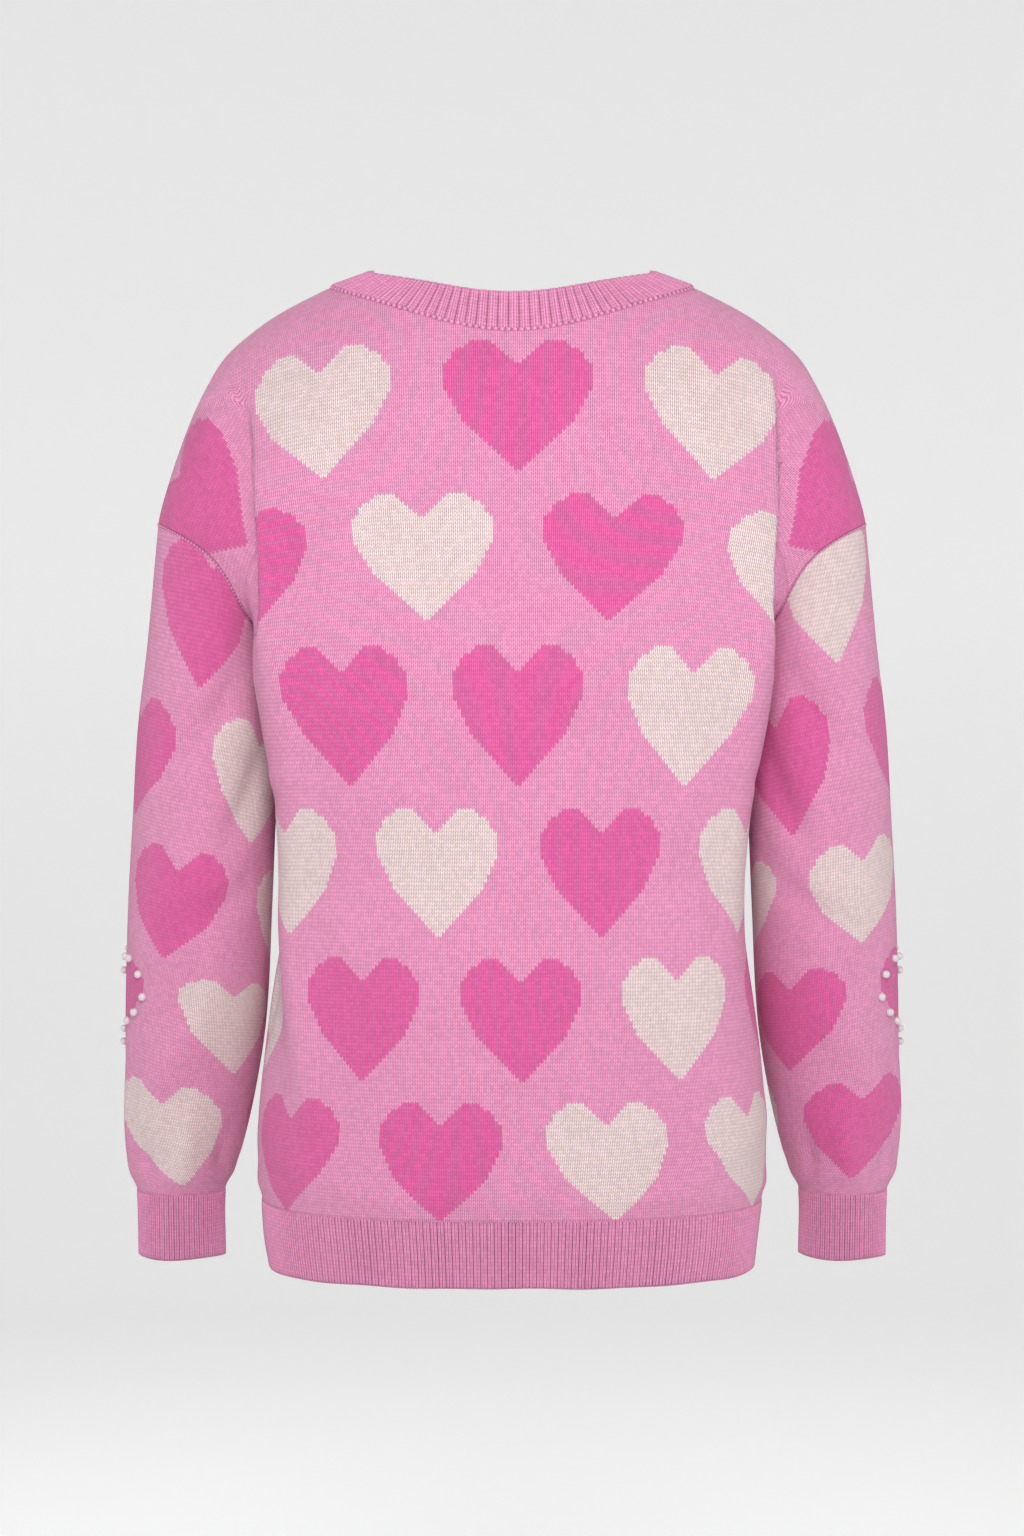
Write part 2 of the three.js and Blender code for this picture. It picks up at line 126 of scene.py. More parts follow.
SLEEVE_SECTIONS = table(
    "z outer inner depth middle",
    (-162, 239, 150, 58, 0), (-242, 247, 153, 60, -2), (-300, 254, 157, 57, -4),
    (-360, 258, 161, 55, -8), (-420, 262, 164, 53, -14), (-495, 266, 169, 50, -30),
    (-545, 267, 177, 45, -42), (-590, 267, 188, 40, -53), (-610, 265, 196, 35, -58),
    (-622, 262, 201, 31, -60), (-668, 262, 202, 31, -70))

# ---- the knit ----

STITCH_W = 2.4                   # one wale, unstretched
STITCH_H = 2.6                   # one course
HEART_CELL = (46, 39)            # stitches across and courses up from heart to heart
HEART_SIZE = (34.5, 33)          # stitches and courses of one heart
HEART_GAP = 3.0                  # courses of a row that lie below its hearts' tips

# How much the body stretches the wales at each height, the course number at the middle,
# and how far the pattern's middle stands to the wearer's left. Hearts' tips lie on whole
# multiples of the cell's courses.
BODY_KNIT = table(
    "z stretch course aside",
    (-50, 1.2, 33, -3.0), (-137, 1.15, 0, -3.5), (-233, 1.05, -39, -3.5), (-339, 0.98, -78, -4.0),
    (-436, 0.95, -117, -5.5), (-528, 0.95, -156, -7.0), (-616, 1.02, -195, -10.0))

# Towards the shoulders the courses droop by drop at this length from the middle.
SHOULDER_DROOP = {"length": 134, "drop": 4.5, "power": 4, "none_z": -300, "full_z": -150}

# Beyond the shoulder fold the cloth hangs turned with the arm, about a heart's middle.
# Below that heart whole cells are added, which leaves the ground plain there.
SHOULDER_TURN = {"degrees": 54, "x": {1: 207, -1: 215}, "z": -151, "wale": 92, "course": 17,
                 "rise": 0.85, "end_z": -240, "none_above": 312, "off": (2.6, 4.0),
                 "far": (3.0, 16.0), "begin": (84.0, 64.0), "length": (6.0, 24.0)}

# The shoulder fold's line on each hand, and how far it stands proud and sinks beyond.
SHOULDER_FOLD = {
    1: {"line": table("z x", (-70, 174), (-101, 170), (-160, 166), (-219, 162)),
        "proud": 3.5, "sunk": 6.5, "start": 62, "full": 125},
    -1: {"line": table("z x", (-70, 172), (-101, 173), (-160, 172), (-219, 166)),
         "proud": 4.5, "sunk": 7.0, "start": 58, "full": 88},
}
FOLD_SPREAD = 20.0

# On a sleeve the pattern's middle line lies lead round from the outermost line, towards
# the back. Hearts lean out a little above the elbow, and are widest under the armhole.
SLEEVE_KNIT = {
    "left": table(
        "z course lead",
        (-162, 39, 86), (-274, 0, 86), (-368, -39, 76), (-457, -78, 59), (-489, -98.7, 55.2),
        (-530, -117, 53), (-613, -156, 58)),
    "right": table(
        "z course lead",
        (-162, 33, 76), (-258, 0, 73), (-363, -39, 59), (-446, -78, 58), (-489, -98.7, 55.2),
        (-528, -117, 54), (-607, -156, 54)),
}
SLEEVE_LEAN = {"above": 0.17, "above_z": -400, "below": 0.1, "below_z": -470, "reach": 90}
SLEEVE_STRETCH = {"top": 1.14, "full_z": -275, "none_z": -365}

# The pearled heart lies on the outermost line, leans up towards the back and is a little
# wider in front.
PEARLED_HEART = {"z": -485, "high": 50, "wide": 52, "ends": 100, "lean": 0.15, "lift": 4,
                 "widen": 0.1, "widen_to": 50}

# Heart colours from the wearer's left to right, top row first: H is hot pink and C is
# cream. The first row and every second one has a heart on the middle line.
HEARTS = {
    "back": ["HCHCH", "HHCHCH", "CHHCH", "HCCHCH", "CHHCH", "CHHCCH"],
    "front": ["CHCHC", "HCHHCH", "HHCHC", "CHHCHC", "HCHCH", "HCHHCC"],
    "left": ["CHC", "CHCH", "CHC", "CHCH", "HCH"],
    "right": ["HCH", "CHHC", "CCH", "CHHC", "CHC"],
}

# ---- creases ----

# Ridges have a positive depth and troughs a negative one.
CREASE_COLUMNS = "x0 z0 x1 z1 depth width bend"
PANEL_CREASES = {
    "back": table(
        CREASE_COLUMNS,
        (163, -215, 152, -330, 5.6, 13, -4), (-167, -215, -156, -340, 7, 12, 3),
        (150, -335, 131, -550, 7.5, 12, 5), (166, -350, 154, -540, -6.5, 12, 3),
        (-150, -330, -142, -450, 4.9, 12, -4), (60, -330, 95, -560, -3.1, 30, 8),
        (-70, -300, -100, -570, -3.6, 28, -9), (-10, -360, 15, -590, 2.8, 34, 6),
        (110, -120, 150, -215, -3.5, 16, 4), (-105, -130, -150, -225, -4.2, 15, -4),
        (-60, -585, 70, -592, 3.1, 14, 3), (80, -600, 160, -575, 3.5, 12, -3),
        (-165, -560, -85, -602, 3.9, 12, -4)),
    "front": table(
        CREASE_COLUMNS,
        (164, -215, 152, -320, 5.6, 13, 4), (-166, -215, -154, -330, 7, 12, -4),
        (70, -290, 110, -560, -4.2, 26, 8), (-60, -300, -105, -540, -3.6, 28, -8),
        (10, -330, -8, -590, 3.1, 30, -5), (100, -170, 160, -225, -4.2, 15, 4),
        (-105, -165, -158, -228, -4.2, 14, -4), (-150, -590, -40, -598, 3.4, 13, 3),
        (30, -596, 150, -585, 3.4, 13, -3)),
}

# On a sleeve x is the way round from the outermost line towards the back.
SLEEVE_CREASES = table(
    CREASE_COLUMNS,
    (120, -262, 60, -330, -4.9, 11, 5), (150, -300, 95, -390, -4.2, 12, 6),
    (-115, -270, -60, -340, -4.9, 11, -5), (140, -395, 60, -440, -3.6, 11, 4),
    (-130, -410, -40, -452, -5, 11, -4), (-120, -455, -30, -478, -4.2, 9, -3),
    (100, -470, 30, -560, 3.1, 14, 5), (20, -520, 8, -618, 3.1, 9, 2), (75, -560, 52, -620, 3.6, 8, 3),
    (100, -575, 84, -620, -2.8, 6, 0), (36, -585, 34, -620, -3.1, 6, 0),
    (-30, -570, -24, -620, 3.1, 8, 0), (-70, -565, -58, -620, 3.4, 8, -3),
    (-50, -590, -46, -620, -3.1, 6, 0))

# Fullness above the ribs: its height over the rib, its spread and its depth.
PUFF = {"panel": (13, 9.0, 1.7), "sleeve": (11, 9.0, 2.2)}

# ---- ribs, seams and beads ----

HEM_RIDGE = 2.25                 # one rib of the hem
CUFF_RIDGE = 1.75                # one rib of a cuff
NECK_REPEAT = 7.2                # two knit wales and one purl groove of the neck rib
RIB_TUCK = {"over": 1.4, "under": 0.5, "reach": 2.0}   # how a rib slips under the cloth above
GROOVE = {"hem": 1.5, "cuff": 1.3, "neck": 3.6}        # depth of a groove
RIDGE_HOLLOW = 1.2               # hem and cuff grooves, as a share of their depth; larger than the neck's, so more painted shade darkens the hem and cuffs
# Neck rib grooves, as a share of their depth; this also sets how much painted shade lies in them.
NECK_HOLLOW_SHARE = 0.55
SEAM_STEPS = 5                   # rings of a seam cord in one stitch
BEAD_SINK = 1.3                  # how far a bead's middle sinks into the soft knit

PANEL_ROWS = (118, 58, 28)       # grid rows of the torso, the armhole and the yoke
SLEEVE_ROWS = 150
NECK_GRID = (1200, 14)           # columns and rows
HEM_GRID = (520, 12)
CUFF_GRID = (760, 12)
FINE = 400                       # samples along a line before it is evened out
PLACES = 320                     # samples of the grid on which lengths are measured

# The flat cut of each cloth piece in metres: its blank's sides, and the area once shaped.
CUTS = table(
    "piece flat area seams",
    ("back_panel_knit", (0.56, 0.60), 0.30, ("shoulder_left", "shoulder_right")),
    ("front_panel_knit", (0.56, 0.56), 0.28, ()),
    ("sleeve_left_knit", (0.38, 0.46), 0.133, ("armhole_left",)),
    ("sleeve_right_knit", (0.38, 0.46), 0.133, ("armhole_right",)),
    ("neck_rib_knit", (0.66, 0.026), 0.0171, ("neck",)),
    ("hem_rib_back_knit", (0.46, 0.043), 0.0197, ()),
    ("hem_rib_front_knit", (0.46, 0.043), 0.0197, ()),
    ("cuff_left_knit", (0.195, 0.046), 0.0089, ()),
    ("cuff_right_knit", (0.195, 0.046), 0.0089, ()))

CAMERA = {"z": -327.0, "lens": 65.6, "sensor": 36.0}   # z is the height of the picture's middle

# ---- small numeric helpers ----


def lerp(a, b, share):
    return a + (b - a) * share


def smooth(value, low, high):
    """0 below low, 1 above high, and 3t^2 - 2t^3 between."""
    t = np.clip((value - low) / (high - low), 0.0, 1.0)
    return t * t * (3.0 - 2.0 * t)


def bell(value, middle, spread):
    """A hump of height 1: e to the minus squared distance in spreads."""
    return np.exp(-(((value - middle) / spread) ** 2))


def even(count, low=0.0, high=1.0):
    """Both ends and the places between them at count equal steps."""
    return np.linspace(low, high, count + 1)


def xyz(x, y, z):
    return np.stack(np.broadcast_arrays(x, y, z), axis=-1)


def column_of(rows, column):
    """A table's heights and one column, from the lowest row up."""
    return [np.array([float(row[key]) for row in rows])[::-1] for key in ("z", column)]


def cell(knots, value):
    """Index of the step between knots that holds each value, and its share along it."""
    i = np.clip(np.searchsorted(knots, value) - 1, 0, len(knots) - 2)
    return i, (value - knots[i]) / (knots[i + 1] - knots[i])


def at(rows, column, z):
    """A table's column at each height: a cubic, with a row's slope from its neighbours."""
    knots, values = column_of(rows, column)
    slopes = np.empty_like(values)
    slopes[1:-1] = (values[2:] - values[:-2]) / (knots[2:] - knots[:-2])
    slopes[0] = (values[1] - values[0]) / (knots[1] - knots[0])
    slopes[-1] = (values[-1] - values[-2]) / (knots[-1] - knots[-2])
    i, u = cell(knots, np.clip(z, knots[0], knots[-1]))
    keep = (1 + 2 * u) * (1 - u) ** 2
    bend = (knots[i + 1] - knots[i]) * u * (1 - u) * ((1 - u) * slopes[i] - u * slopes[i + 1])
    return keep * values[i] + (1 - keep) * values[i + 1] + bend


def line(rows, column, z):
    """A table's column at each height, straight between rows and straight on past them."""
    knots, values = column_of(rows, column)
    i, u = cell(knots, z)
    return lerp(values[i], values[i + 1], u)


def oval_radius(bearing, half, depth, square):
    """Radius of the squared oval |x/half|^n + |y/depth|^n = 1 towards a bearing."""
    across = np.abs(np.cos(bearing) / half) ** square
    along = np.abs(np.sin(bearing) / depth) ** square
    return (across + along) ** (-1.0 / square)


def lengths_along(points, axis):
    """Running length of a grid's lines along one axis, starting from 0."""
    steps = np.linalg.norm(np.diff(points, axis=axis), axis=-1)
    start = np.zeros_like(np.take(steps, [0], axis=axis))
    return np.concatenate([start, np.cumsum(steps, axis=axis)], axis=axis)


def look_up(values, rows, columns, row, column):
    """Values on a grid between its rows and columns, linear both ways."""
    (i, a), (j, b) = cell(rows, row), cell(columns, column)
    b = np.clip(b, 0.0, 1.0)
    return lerp(lerp(values[i, j], values[i, j + 1], b),
                lerp(values[i + 1, j], values[i + 1, j + 1], b), np.clip(a, 0.0, 1.0))


def push_out(points, amount, closed=False):
    """Move a grid along its outward normals, the cross product of its two differences."""
    if closed:
        wide = np.concatenate([points[:, -1:], points, points[:, :1]], axis=1)
        along = np.gradient(wide, axis=1)[:, 1:-1]
    else:
        along = np.gradient(points, axis=1)
    normals = np.cross(along, np.gradient(points, axis=0))
    normals = normals / np.maximum(np.linalg.norm(normals, axis=-1, keepdims=True), 1e-9)
    if np.sum(normals * (points - points.reshape(-1, 3).mean(axis=0))) < 0:
        normals = -normals
    return points + normals * amount[..., None]


def edge_fade(rows, columns, edge):
    """1 inside a grid and 0 on its edges, so that neighbours still meet there."""
    down, across = (smooth(np.minimum(np.arange(count), np.arange(count)[::-1]), 0, edge)
                    for count in (rows, columns))
    return down[:, None] * across


# ---- the body's surface ----


def body_point(face, hand, bearing, z):
    """Body surface: a squared oval tube, tucked in at the sides, that turns into the wider
    oval of the yoke between the underarm and the shoulder tip."""
    depth = at(BODY_SECTIONS, face, z)
    degrees = np.degrees(bearing)
    tube = oval_radius(bearing, at(BODY_SECTIONS, "half", z), depth, at(BODY_SECTIONS, "square", z))
    tube = tube - at(BODY_SECTIONS, "tuck", z) * bell(degrees, 0.0, SIDE_TUCK_SPREAD)
    square = lerp(2.0, YOKE_SQUARE, smooth(z / SHOULDER_TIP_Z, 0.0, 1.0))
    fold = (BACK_FOLD["depth"] * smooth(-z, BACK_FOLD["start"], BACK_FOLD["full"])
            * bell(degrees, BACK_FOLD["bearing"], BACK_FOLD["spread"]))
    yoke = oval_radius(bearing, at(SHOULDER_LINE, "half", z), depth, square) - fold
    radius = lerp(tube, yoke, smooth(z, UNDERARM_Z, SHOULDER_TIP_Z))
    out = 1.0 if face == "back" else -1.0
    return xyz(hand * radius * np.cos(bearing), out * (radius * np.sin(bearing) + SEAM_GAP / 2), z)


def armhole_place(turn):
    """Bearing and height of the armhole seam, turn 0 at the shoulder tip and pi at the
    underarm."""
    fall = (1 - np.cos(turn)) / 2
    sine = np.clip(np.sin(turn), 0.0, 1.0)
    bearing = math.radians(ARMHOLE_BEARING) * sine ** 0.8
    return bearing, lerp(SHOULDER_TIP_Z, UNDERARM_Z, fall) - ARMHOLE_SAG * sine


def neck_height(face, bearing):
    """Neck seam: level at the shoulders and dropping with the sine of the bearing."""
    return -NECK_DROP[face] * np.sin(bearing) ** NECK_HOLLOW[face]


def even_columns(face, bearing, z, columns):
    """Resample each course of places at equal lengths along the body surface."""
    run = lengths_along(body_point(face, 1, bearing, z), 1)
    return [np.array([np.interp(even(columns) * r[-1], r, v) for r, v in zip(run, values)])
            for values in (bearing, z)]


def panel_places(face, columns, torso_rows, armhole_rows, yoke_rows):
    """Bearings and heights of a half panel's grid, from the hem rib up and from the middle
    to the side. Courses droop towards the armhole, and the yoke's rows fan between the
    last course and the neck and shoulder seams."""
    share = np.linspace(0.0, 1.0, FINE)
    torso_z = lerp(HEM_RIB_TOP_Z, UNDERARM_Z, np.arange(torso_rows) / torso_rows)
    climb = even(armhole_rows)
    end_bearing, end_z = armhole_place(pi * (1 - climb))
    start_z = lerp(UNDERARM_Z, TOP_ROW_Z, climb)
    if face == "front":
        start_z = np.minimum(start_z, lerp(UNDERARM_Z, -NECK_DROP["front"] - FRONT_ROW_DROP, climb))
    start = np.concatenate([torso_z, start_z])[:, None]
    last = np.concatenate([torso_z, end_z])[:, None]
    side = np.concatenate([np.zeros(torso_rows), end_bearing])[:, None]
    bearing, z = even_columns(face, lerp(pi / 2, side, share),
                              lerp(start, last, share ** COURSE_DROOP), columns)
    neck_columns = round(columns * NECK_COLUMNS)
    column = np.arange(columns + 1)
    top_bearing = pi / 2 * np.maximum(0.0, 1 - column / neck_columns)
    along = np.maximum(0, column - neck_columns) / (columns - neck_columns)
    top_z = np.where(column <= neck_columns, neck_height(face, top_bearing),
                     SHOULDER_TIP_Z * along ** SHOULDER_FALL)
    rise = even(yoke_rows)[1:, None]
    return (np.concatenate([bearing, lerp(bearing[-1], top_bearing, rise)]),
            np.concatenate([z, lerp(z[-1], top_z, rise)]))


def join_halves(left, right):
    """Two half grids in one, from the wearer's left to the right."""
    return np.concatenate([left[:, ::-1], right[:, 1:]], axis=1)


def both_hands(face, bearing, z):
    return join_halves(body_point(face, 1, bearing, z), body_point(face, -1, bearing, z))


def fold_line(hand, z):
    """Distance of the shoulder fold from the middle."""
    rows = SHOULDER_FOLD[hand]["line"]
    return line(rows, "x", np.clip(z, rows[-1]["z"], rows[0]["z"]))


def shoulder_fold(hand, x, z):
    """The cloth stands proud along the fold's line and drops steeply beyond it. The fold
    starts softly below the shoulder and ends under the sleeve."""
    fold = SHOULDER_FOLD[hand]
    off = np.abs(x) - fold_line(hand, z)
    proud = fold["proud"] * bell(np.minimum(off, 0.0), 0.0, FOLD_SPREAD)
    sunk = -fold["sunk"] * bell(np.maximum(off, 0.0), 0.0, FOLD_SPREAD)
    held = smooth(-z, fold["start"], fold["full"]) * smooth(z, UNDERARM_Z - 30, UNDERARM_Z + 25)
    return lerp(proud, sunk, smooth(off, -1.5, 3.5)) * held


def panel_knit_places(face, hand, points, bearing):
    """Place of each point in wales and courses. Lengths across at one height over the
    stretch give the wales. The height and a droop towards the shoulders give the courses,
    and length gives those above the hearts. Beyond the fold both turn about a heart."""
    heights = np.linspace(HEM_RIB_TOP_Z - 5, 0.0, PLACES)
    bearings = np.linspace(0.0, pi / 2, PLACES)
    surface = body_point(face, 1, bearings[None, :], heights[:, None])
    across = lengths_along(surface[:, ::-1], 1)[:, ::-1]
    up = lengths_along(surface, 0)
    z = points[..., 2]
    s = look_up(across, heights, bearings, z, bearing)
    top = BODY_KNIT[0]["z"]
    drop = SHOULDER_DROOP["drop"] * (s / SHOULDER_DROOP["length"]) ** SHOULDER_DROOP["power"]
    droop = drop * smooth(z, SHOULDER_DROOP["none_z"], SHOULDER_DROOP["full_z"])
    over = look_up(up, heights, bearings, z, bearing) - look_up(up, heights, bearings, top, bearing)
    course = line(BODY_KNIT, "course", np.minimum(z, top) + droop)
    course = course + np.maximum(over, 0.0) / STITCH_H
    wale = (s / at(BODY_KNIT, "stretch", z) - hand * at(BODY_KNIT, "aside", z)) / STITCH_W

    turned = SHOULDER_TURN
    turn = math.radians(turned["degrees"])
    centre_z = np.array(float(turned["z"]))
    ring = body_point(face, 1, bearings, np.full(PLACES, centre_z))
    centre = np.interp(-turned["x"][hand], -ring[:, 0], bearings)
    out = s - look_up(across, heights, bearings, centre_z, centre)
    rise = (z - centre_z) * turned["rise"]
    turned_wale = turned["wale"] + (out * math.cos(turn) - rise * math.sin(turn)) / STITCH_W
    turned_course = turned["course"] + (out * math.sin(turn) + rise * math.cos(turn)) / STITCH_H
    turned_course = turned_course + turned["none_above"] * (turned_course < -HEART_GAP)
    off = np.abs(points[..., 0]) - fold_line(hand, z)
    far = smooth(off, *turned["far"])
    begin = lerp(*turned["begin"], far)
    beyond = smooth(off, *turned["off"]) * smooth(-z, begin, begin + lerp(*turned["length"], far))
    beyond = beyond * (z > turned["end_z"])
    return lerp(wale, turned_wale, beyond), lerp(course, turned_course, beyond)


# ---- the sleeve's surface ----


def sleeve_oval(hand, turn, z):
    """Sleeve oval: its middle plus half widths times cosine and sine."""
    outer = at(SLEEVE_SECTIONS, "outer", z)
    inner = at(SLEEVE_SECTIONS, "inner", z)
    x = hand * ((outer + inner) / 2 + (outer - inner) / 2 * np.cos(turn))
    y = at(SLEEVE_SECTIONS, "middle", z) + at(SLEEVE_SECTIONS, "depth", z) * np.sin(turn)
    return xyz(x, y, z)


def on_body(at_back, hand, bearing, z):
    """Body surface, on the back where at_back holds, else on the front."""
    return np.where(at_back[..., None], *(body_point(face, hand, bearing, z) for face in FACES))


def armhole_point(hand, turn):
    """The armhole seam in space, on the back for turns up to half a circle."""
    turn = np.mod(turn, 2 * pi)
    return on_body(turn <= pi, hand, *armhole_place(np.where(turn <= pi, turn, 2 * pi - turn)))


def sleeve_point(hand, turn, fall):
    """Sleeve surface: the armhole seam at fall 0 eases into the ovals, down to the cuff at
    fall 1, clear of the body's side."""
    seam = armhole_point(hand, turn)
    inner = ((1 - np.cos(turn)) / 2) ** 2
    off = xyz(hand * 3.0 * inner, 0.0, -1.0)
    off /= np.linalg.norm(off, axis=-1, keepdims=True)
    seam = seam + off * lerp(0.4, 1.7, inner)[..., None]
    z = lerp(seam[..., 2], CUFF_TOP_Z, fall)
    ease = (1 - smooth(fall, 0.0, SLEEVE_EASE))[..., None]
    point = sleeve_oval(hand, turn, z) + (seam - sleeve_oval(hand, turn, seam[..., 2])) * ease
    x, y, z = (point[..., k] for k in range(3))
    body = on_body(y >= 0, hand, np.arctan2(np.abs(y), np.abs(x)), z)
    wanted = np.hypot(body[..., 0], body[..., 1]) + SLEEVE_CLEARANCE * smooth(fall, 0.0, 0.05)
    point[..., 0] += hand * np.maximum(0.0, wanted - np.hypot(x, y))
    return point


def creases(across, height, rows):
    """Sum of soft troughs and ridges, each a bell across a bent run with faded ends."""
    total = np.zeros(np.broadcast(across, height).shape)
    for row in rows:
        run = math.hypot(row["x1"] - row["x0"], row["z1"] - row["z0"])
        ux, uz = (row["x1"] - row["x0"]) / run, (row["z1"] - row["z0"]) / run
        x, z = across - row["x0"], height - row["z0"]
        along = x * ux + z * uz
        share = np.clip(along / run, 0.0, 1.0)
        side = -x * uz + z * ux - row["bend"] * np.sin(pi * share)
        past = along - share * run
        fade = np.sin(pi * np.clip(share, 0.06, 0.94)) ** 0.7
        total += row["depth"] * fade * np.exp(-(side ** 2 + past ** 2) / row["width"] ** 2)
    return total


def puff(kind, height, top):
    over, spread, depth = PUFF[kind]
    return depth * bell(height, top + over, spread)


# ---- meshes ----


def heart_tone(wale, course, rows):
    """1 where the nearest heart is cream, 0 where it is hot pink, -1 past the last row."""
    across, up = HEART_CELL
    row = np.floor((course + HEART_GAP) / up)
    column = np.floor((wale + across / 2 * np.mod(row, 2)) / across + 0.5)
    tone = np.full(np.shape(wale), -1.0)
    for k, letters in enumerate(rows):
        place = np.mod(len(letters) // 2 - column, len(letters)).astype(int)
        cream = np.array([letter == "C" for letter in letters], dtype=float)
        tone = np.where(row == -k, cream[place], tone)
    return tone


def plain_places(rows, columns):
    """Wales and courses from 0 to 1 across and along a grid."""
    wale, course = np.meshgrid(np.linspace(0.0, 1.0, columns), np.linspace(0.0, 1.0, rows))
    return {"wale": wale, "course": course}


def cloth_object(name, points, marks, wall=0, closed=False, outside_rows=None):
    """A wall whose outer face is a grid of points. marks holds the wales, the courses and
    other numbers that the finish reads, on the grid and one column more where it closes
    on itself. The first outside_rows, or all, face out."""
    rows, columns = points.shape[:2]
    spans = columns if closed else columns - 1
    row, column = np.indices((rows - 1, spans))
    corner_row = np.stack([row, row, row + 1, row + 1], axis=-1).reshape(-1, 4)
    corner_column = np.stack([column, column + 1, column + 1, column], axis=-1).reshape(-1, 4)
    quads = corner_row * columns + corner_column % columns
    flat = points.reshape(-1, 3)
    first = flat[quads[:, 0]]
    normal = np.cross(flat[quads[:, 1]] - first, flat[quads[:, 3]] - first)
    tested = slice(0, (outside_rows or rows) * spans - spans)
    if np.sum((normal * (first - flat.mean(axis=0)))[tested]) <= 0:
        quads, corner_row, corner_column = (each[:, ::-1] for each in (quads, corner_row, corner_column))

    mesh = bpy.data.meshes.new(name)
    mesh.from_pydata((flat * MM).tolist(), [], quads.tolist())
    picked = {key: value[corner_row, corner_column] for key, value in marks.items()}
    uv = np.stack([picked.pop("wale"), picked.pop("course")], axis=-1)
    mesh.uv_layers.new(name="knit").data.foreach_set("uv", uv.reshape(-1))
    for key, value in picked.items():
        mesh.attributes.new(key, "FLOAT", "CORNER").data.foreach_set("value", value.reshape(-1))
    weld_and_smooth(mesh)
    obj = bpy.data.objects.new(name, mesh)
    bpy.context.scene.collection.objects.link(obj)
    if wall:
        shell = obj.modifiers.new("wall", "SOLIDIFY")
        shell.thickness = wall * MM
        shell.offset = -1.0
    return obj


def weld_and_smooth(mesh):
    """Join points that fall together, so that no face is a sliver, and shade smooth."""
    work = bmesh.new()
    work.from_mesh(mesh)
    bmesh.ops.remove_doubles(work, verts=work.verts, dist=0.02 * MM)
    bmesh.ops.dissolve_degenerate(work, edges=work.edges, dist=0.005 * MM)
    work.to_mesh(mesh)
    work.free()
    mesh.shade_smooth()


# ---- knitted pieces ----


def build_panel(face, columns):
    """Back or front: the body surface with its creases, and the knit's places on it."""
    bearing, z = panel_places(face, columns, *PANEL_ROWS)
    points = both_hands(face, bearing, z)
    left, right = (panel_knit_places(face, hand, body_point(face, hand, bearing, z), bearing)
                   for hand in HANDS.values())
    wale = join_halves(left[0], -right[0])
    course = join_halves(left[1], right[1])
    x, height = points[..., 0], points[..., 2]
    relief = creases(x, height, PANEL_CREASES[face]) + puff("panel", height, HEM_RIB_TOP_Z)
    relief = relief + np.where(x >= 0, shoulder_fold(1, x, height), shoulder_fold(-1, x, height))
    points = push_out(points, relief * edge_fade(*points.shape[:2], 4))
    marks = {"wale": wale, "course": course, "tone": heart_tone(wale, course, HEARTS[face])}
    return cloth_object(f"{face}_panel_knit", points, marks, JERSEY_WALL)


def build_sleeve(label, sides):
    """A sleeve: its surface with creases, a fullness above the cuff, and its knit."""
    hand = HANDS[label]
    turn = even(sides, -pi, pi)[None, :]
    fall = (even(SLEEVE_ROWS) ** 1.05)[:, None]
    whole = sleeve_point(hand, *np.broadcast_arrays(turn, fall))
    run = lengths_along(whole, 1)
    way = run - run[:, sides // 2][:, None]
    height = whole[..., 2]
    relief = creases(way if hand > 0 else way + 6, height, SLEEVE_CREASES)
    relief = relief + puff("sleeve", height, CUFF_TOP_Z) * (0.7 + 0.3 * np.cos(3 * turn + hand))
    fade = smooth(np.minimum(fall * SLEEVE_ROWS, (1 - fall) * SLEEVE_ROWS), 0, 7)
    points = push_out(whole[:, :-1], (relief * fade)[:, :-1], closed=True)

    knit, lean, stretch, heart = SLEEVE_KNIT[label], SLEEVE_LEAN, SLEEVE_STRETCH, PEARLED_HEART
    near = bell(height, heart["z"], heart["high"])
    inward = way - at(knit, "lead", height) + heart["widen"] * np.clip(-way, 0, heart["widen_to"]) * near
    leaning = lerp(lean["below"], lean["above"], smooth(height, lean["below_z"], lean["above_z"]))
    wider = lerp(1.0, stretch["top"], smooth(height, stretch["none_z"], stretch["full_z"]))
    wale = -hand * inward / (STITCH_W * wider)
    wide = heart["wide"]
    lift = heart["lean"] * (np.clip(way, -wide, wide) - wide) - heart["lift"]
    lift = lift * near * smooth(-np.abs(way), -heart["ends"], -wide)
    course = line(knit, "course", height + leaning * np.clip(inward, -lean["reach"], lean["reach"]) + lift)
    marks = {"wale": wale, "course": course, "tone": heart_tone(wale, course, HEARTS[label])}
    return cloth_object(f"sleeve_{label}_knit", points, marks, JERSEY_WALL, closed=True)


# ---- ribs ----


def ridge_hollow(place):
    """Narrow grooves at whole numbers, every second one shallower, with round ridges
    between: 0 on a ridge and 1 in a deep groove."""
    groove = 1 - np.abs(np.sin(pi * place)) ** 0.6
    return groove * (0.62 + 0.38 * np.cos(pi * place / 2) ** 2)


def neck_hollow(place):
    """A deep purl groove at whole numbers and a shallow dip halfway between."""
    phase = np.mod(place, 1.0)
    return bell(np.minimum(phase, 1 - phase), 0.0, 0.13) + 0.38 * bell(phase, 0.5, 0.09)


def rib_object(name, points, wale, hollow, course, depth, closed=False):
    """A ribbed band, closed all round: the outer face moved in by depth times the hollow,
    and a plain inner face a wall behind."""
    outer = push_out(points, depth * (0.5 - hollow[:, :points.shape[1]]), closed)
    inner = push_out(points, np.full(points.shape[:2], -RIB_WALL), closed)

    def round_the_wall(front, back):
        """Up the front face and down the back, both drawn together at open ends."""
        if not closed:
            middle = (front + back) / 2
            front, back = (np.concatenate([middle[:, :1], face, middle[:, -1:]], axis=1)
                           for face in (front, back))
        return np.concatenate([front, back[::-1], front[:1]])

    # The hollow also goes to the finish, which paints shade in the grooves and a faint highlight on the
    # ridges.
    marks = {"wale": wale, "course": course, "hollow": hollow}
    marks = {key: round_the_wall(value, value) for key, value in marks.items()}
    return cloth_object(name, round_the_wall(outer, inner), marks, 0, closed, outside_rows=len(points))


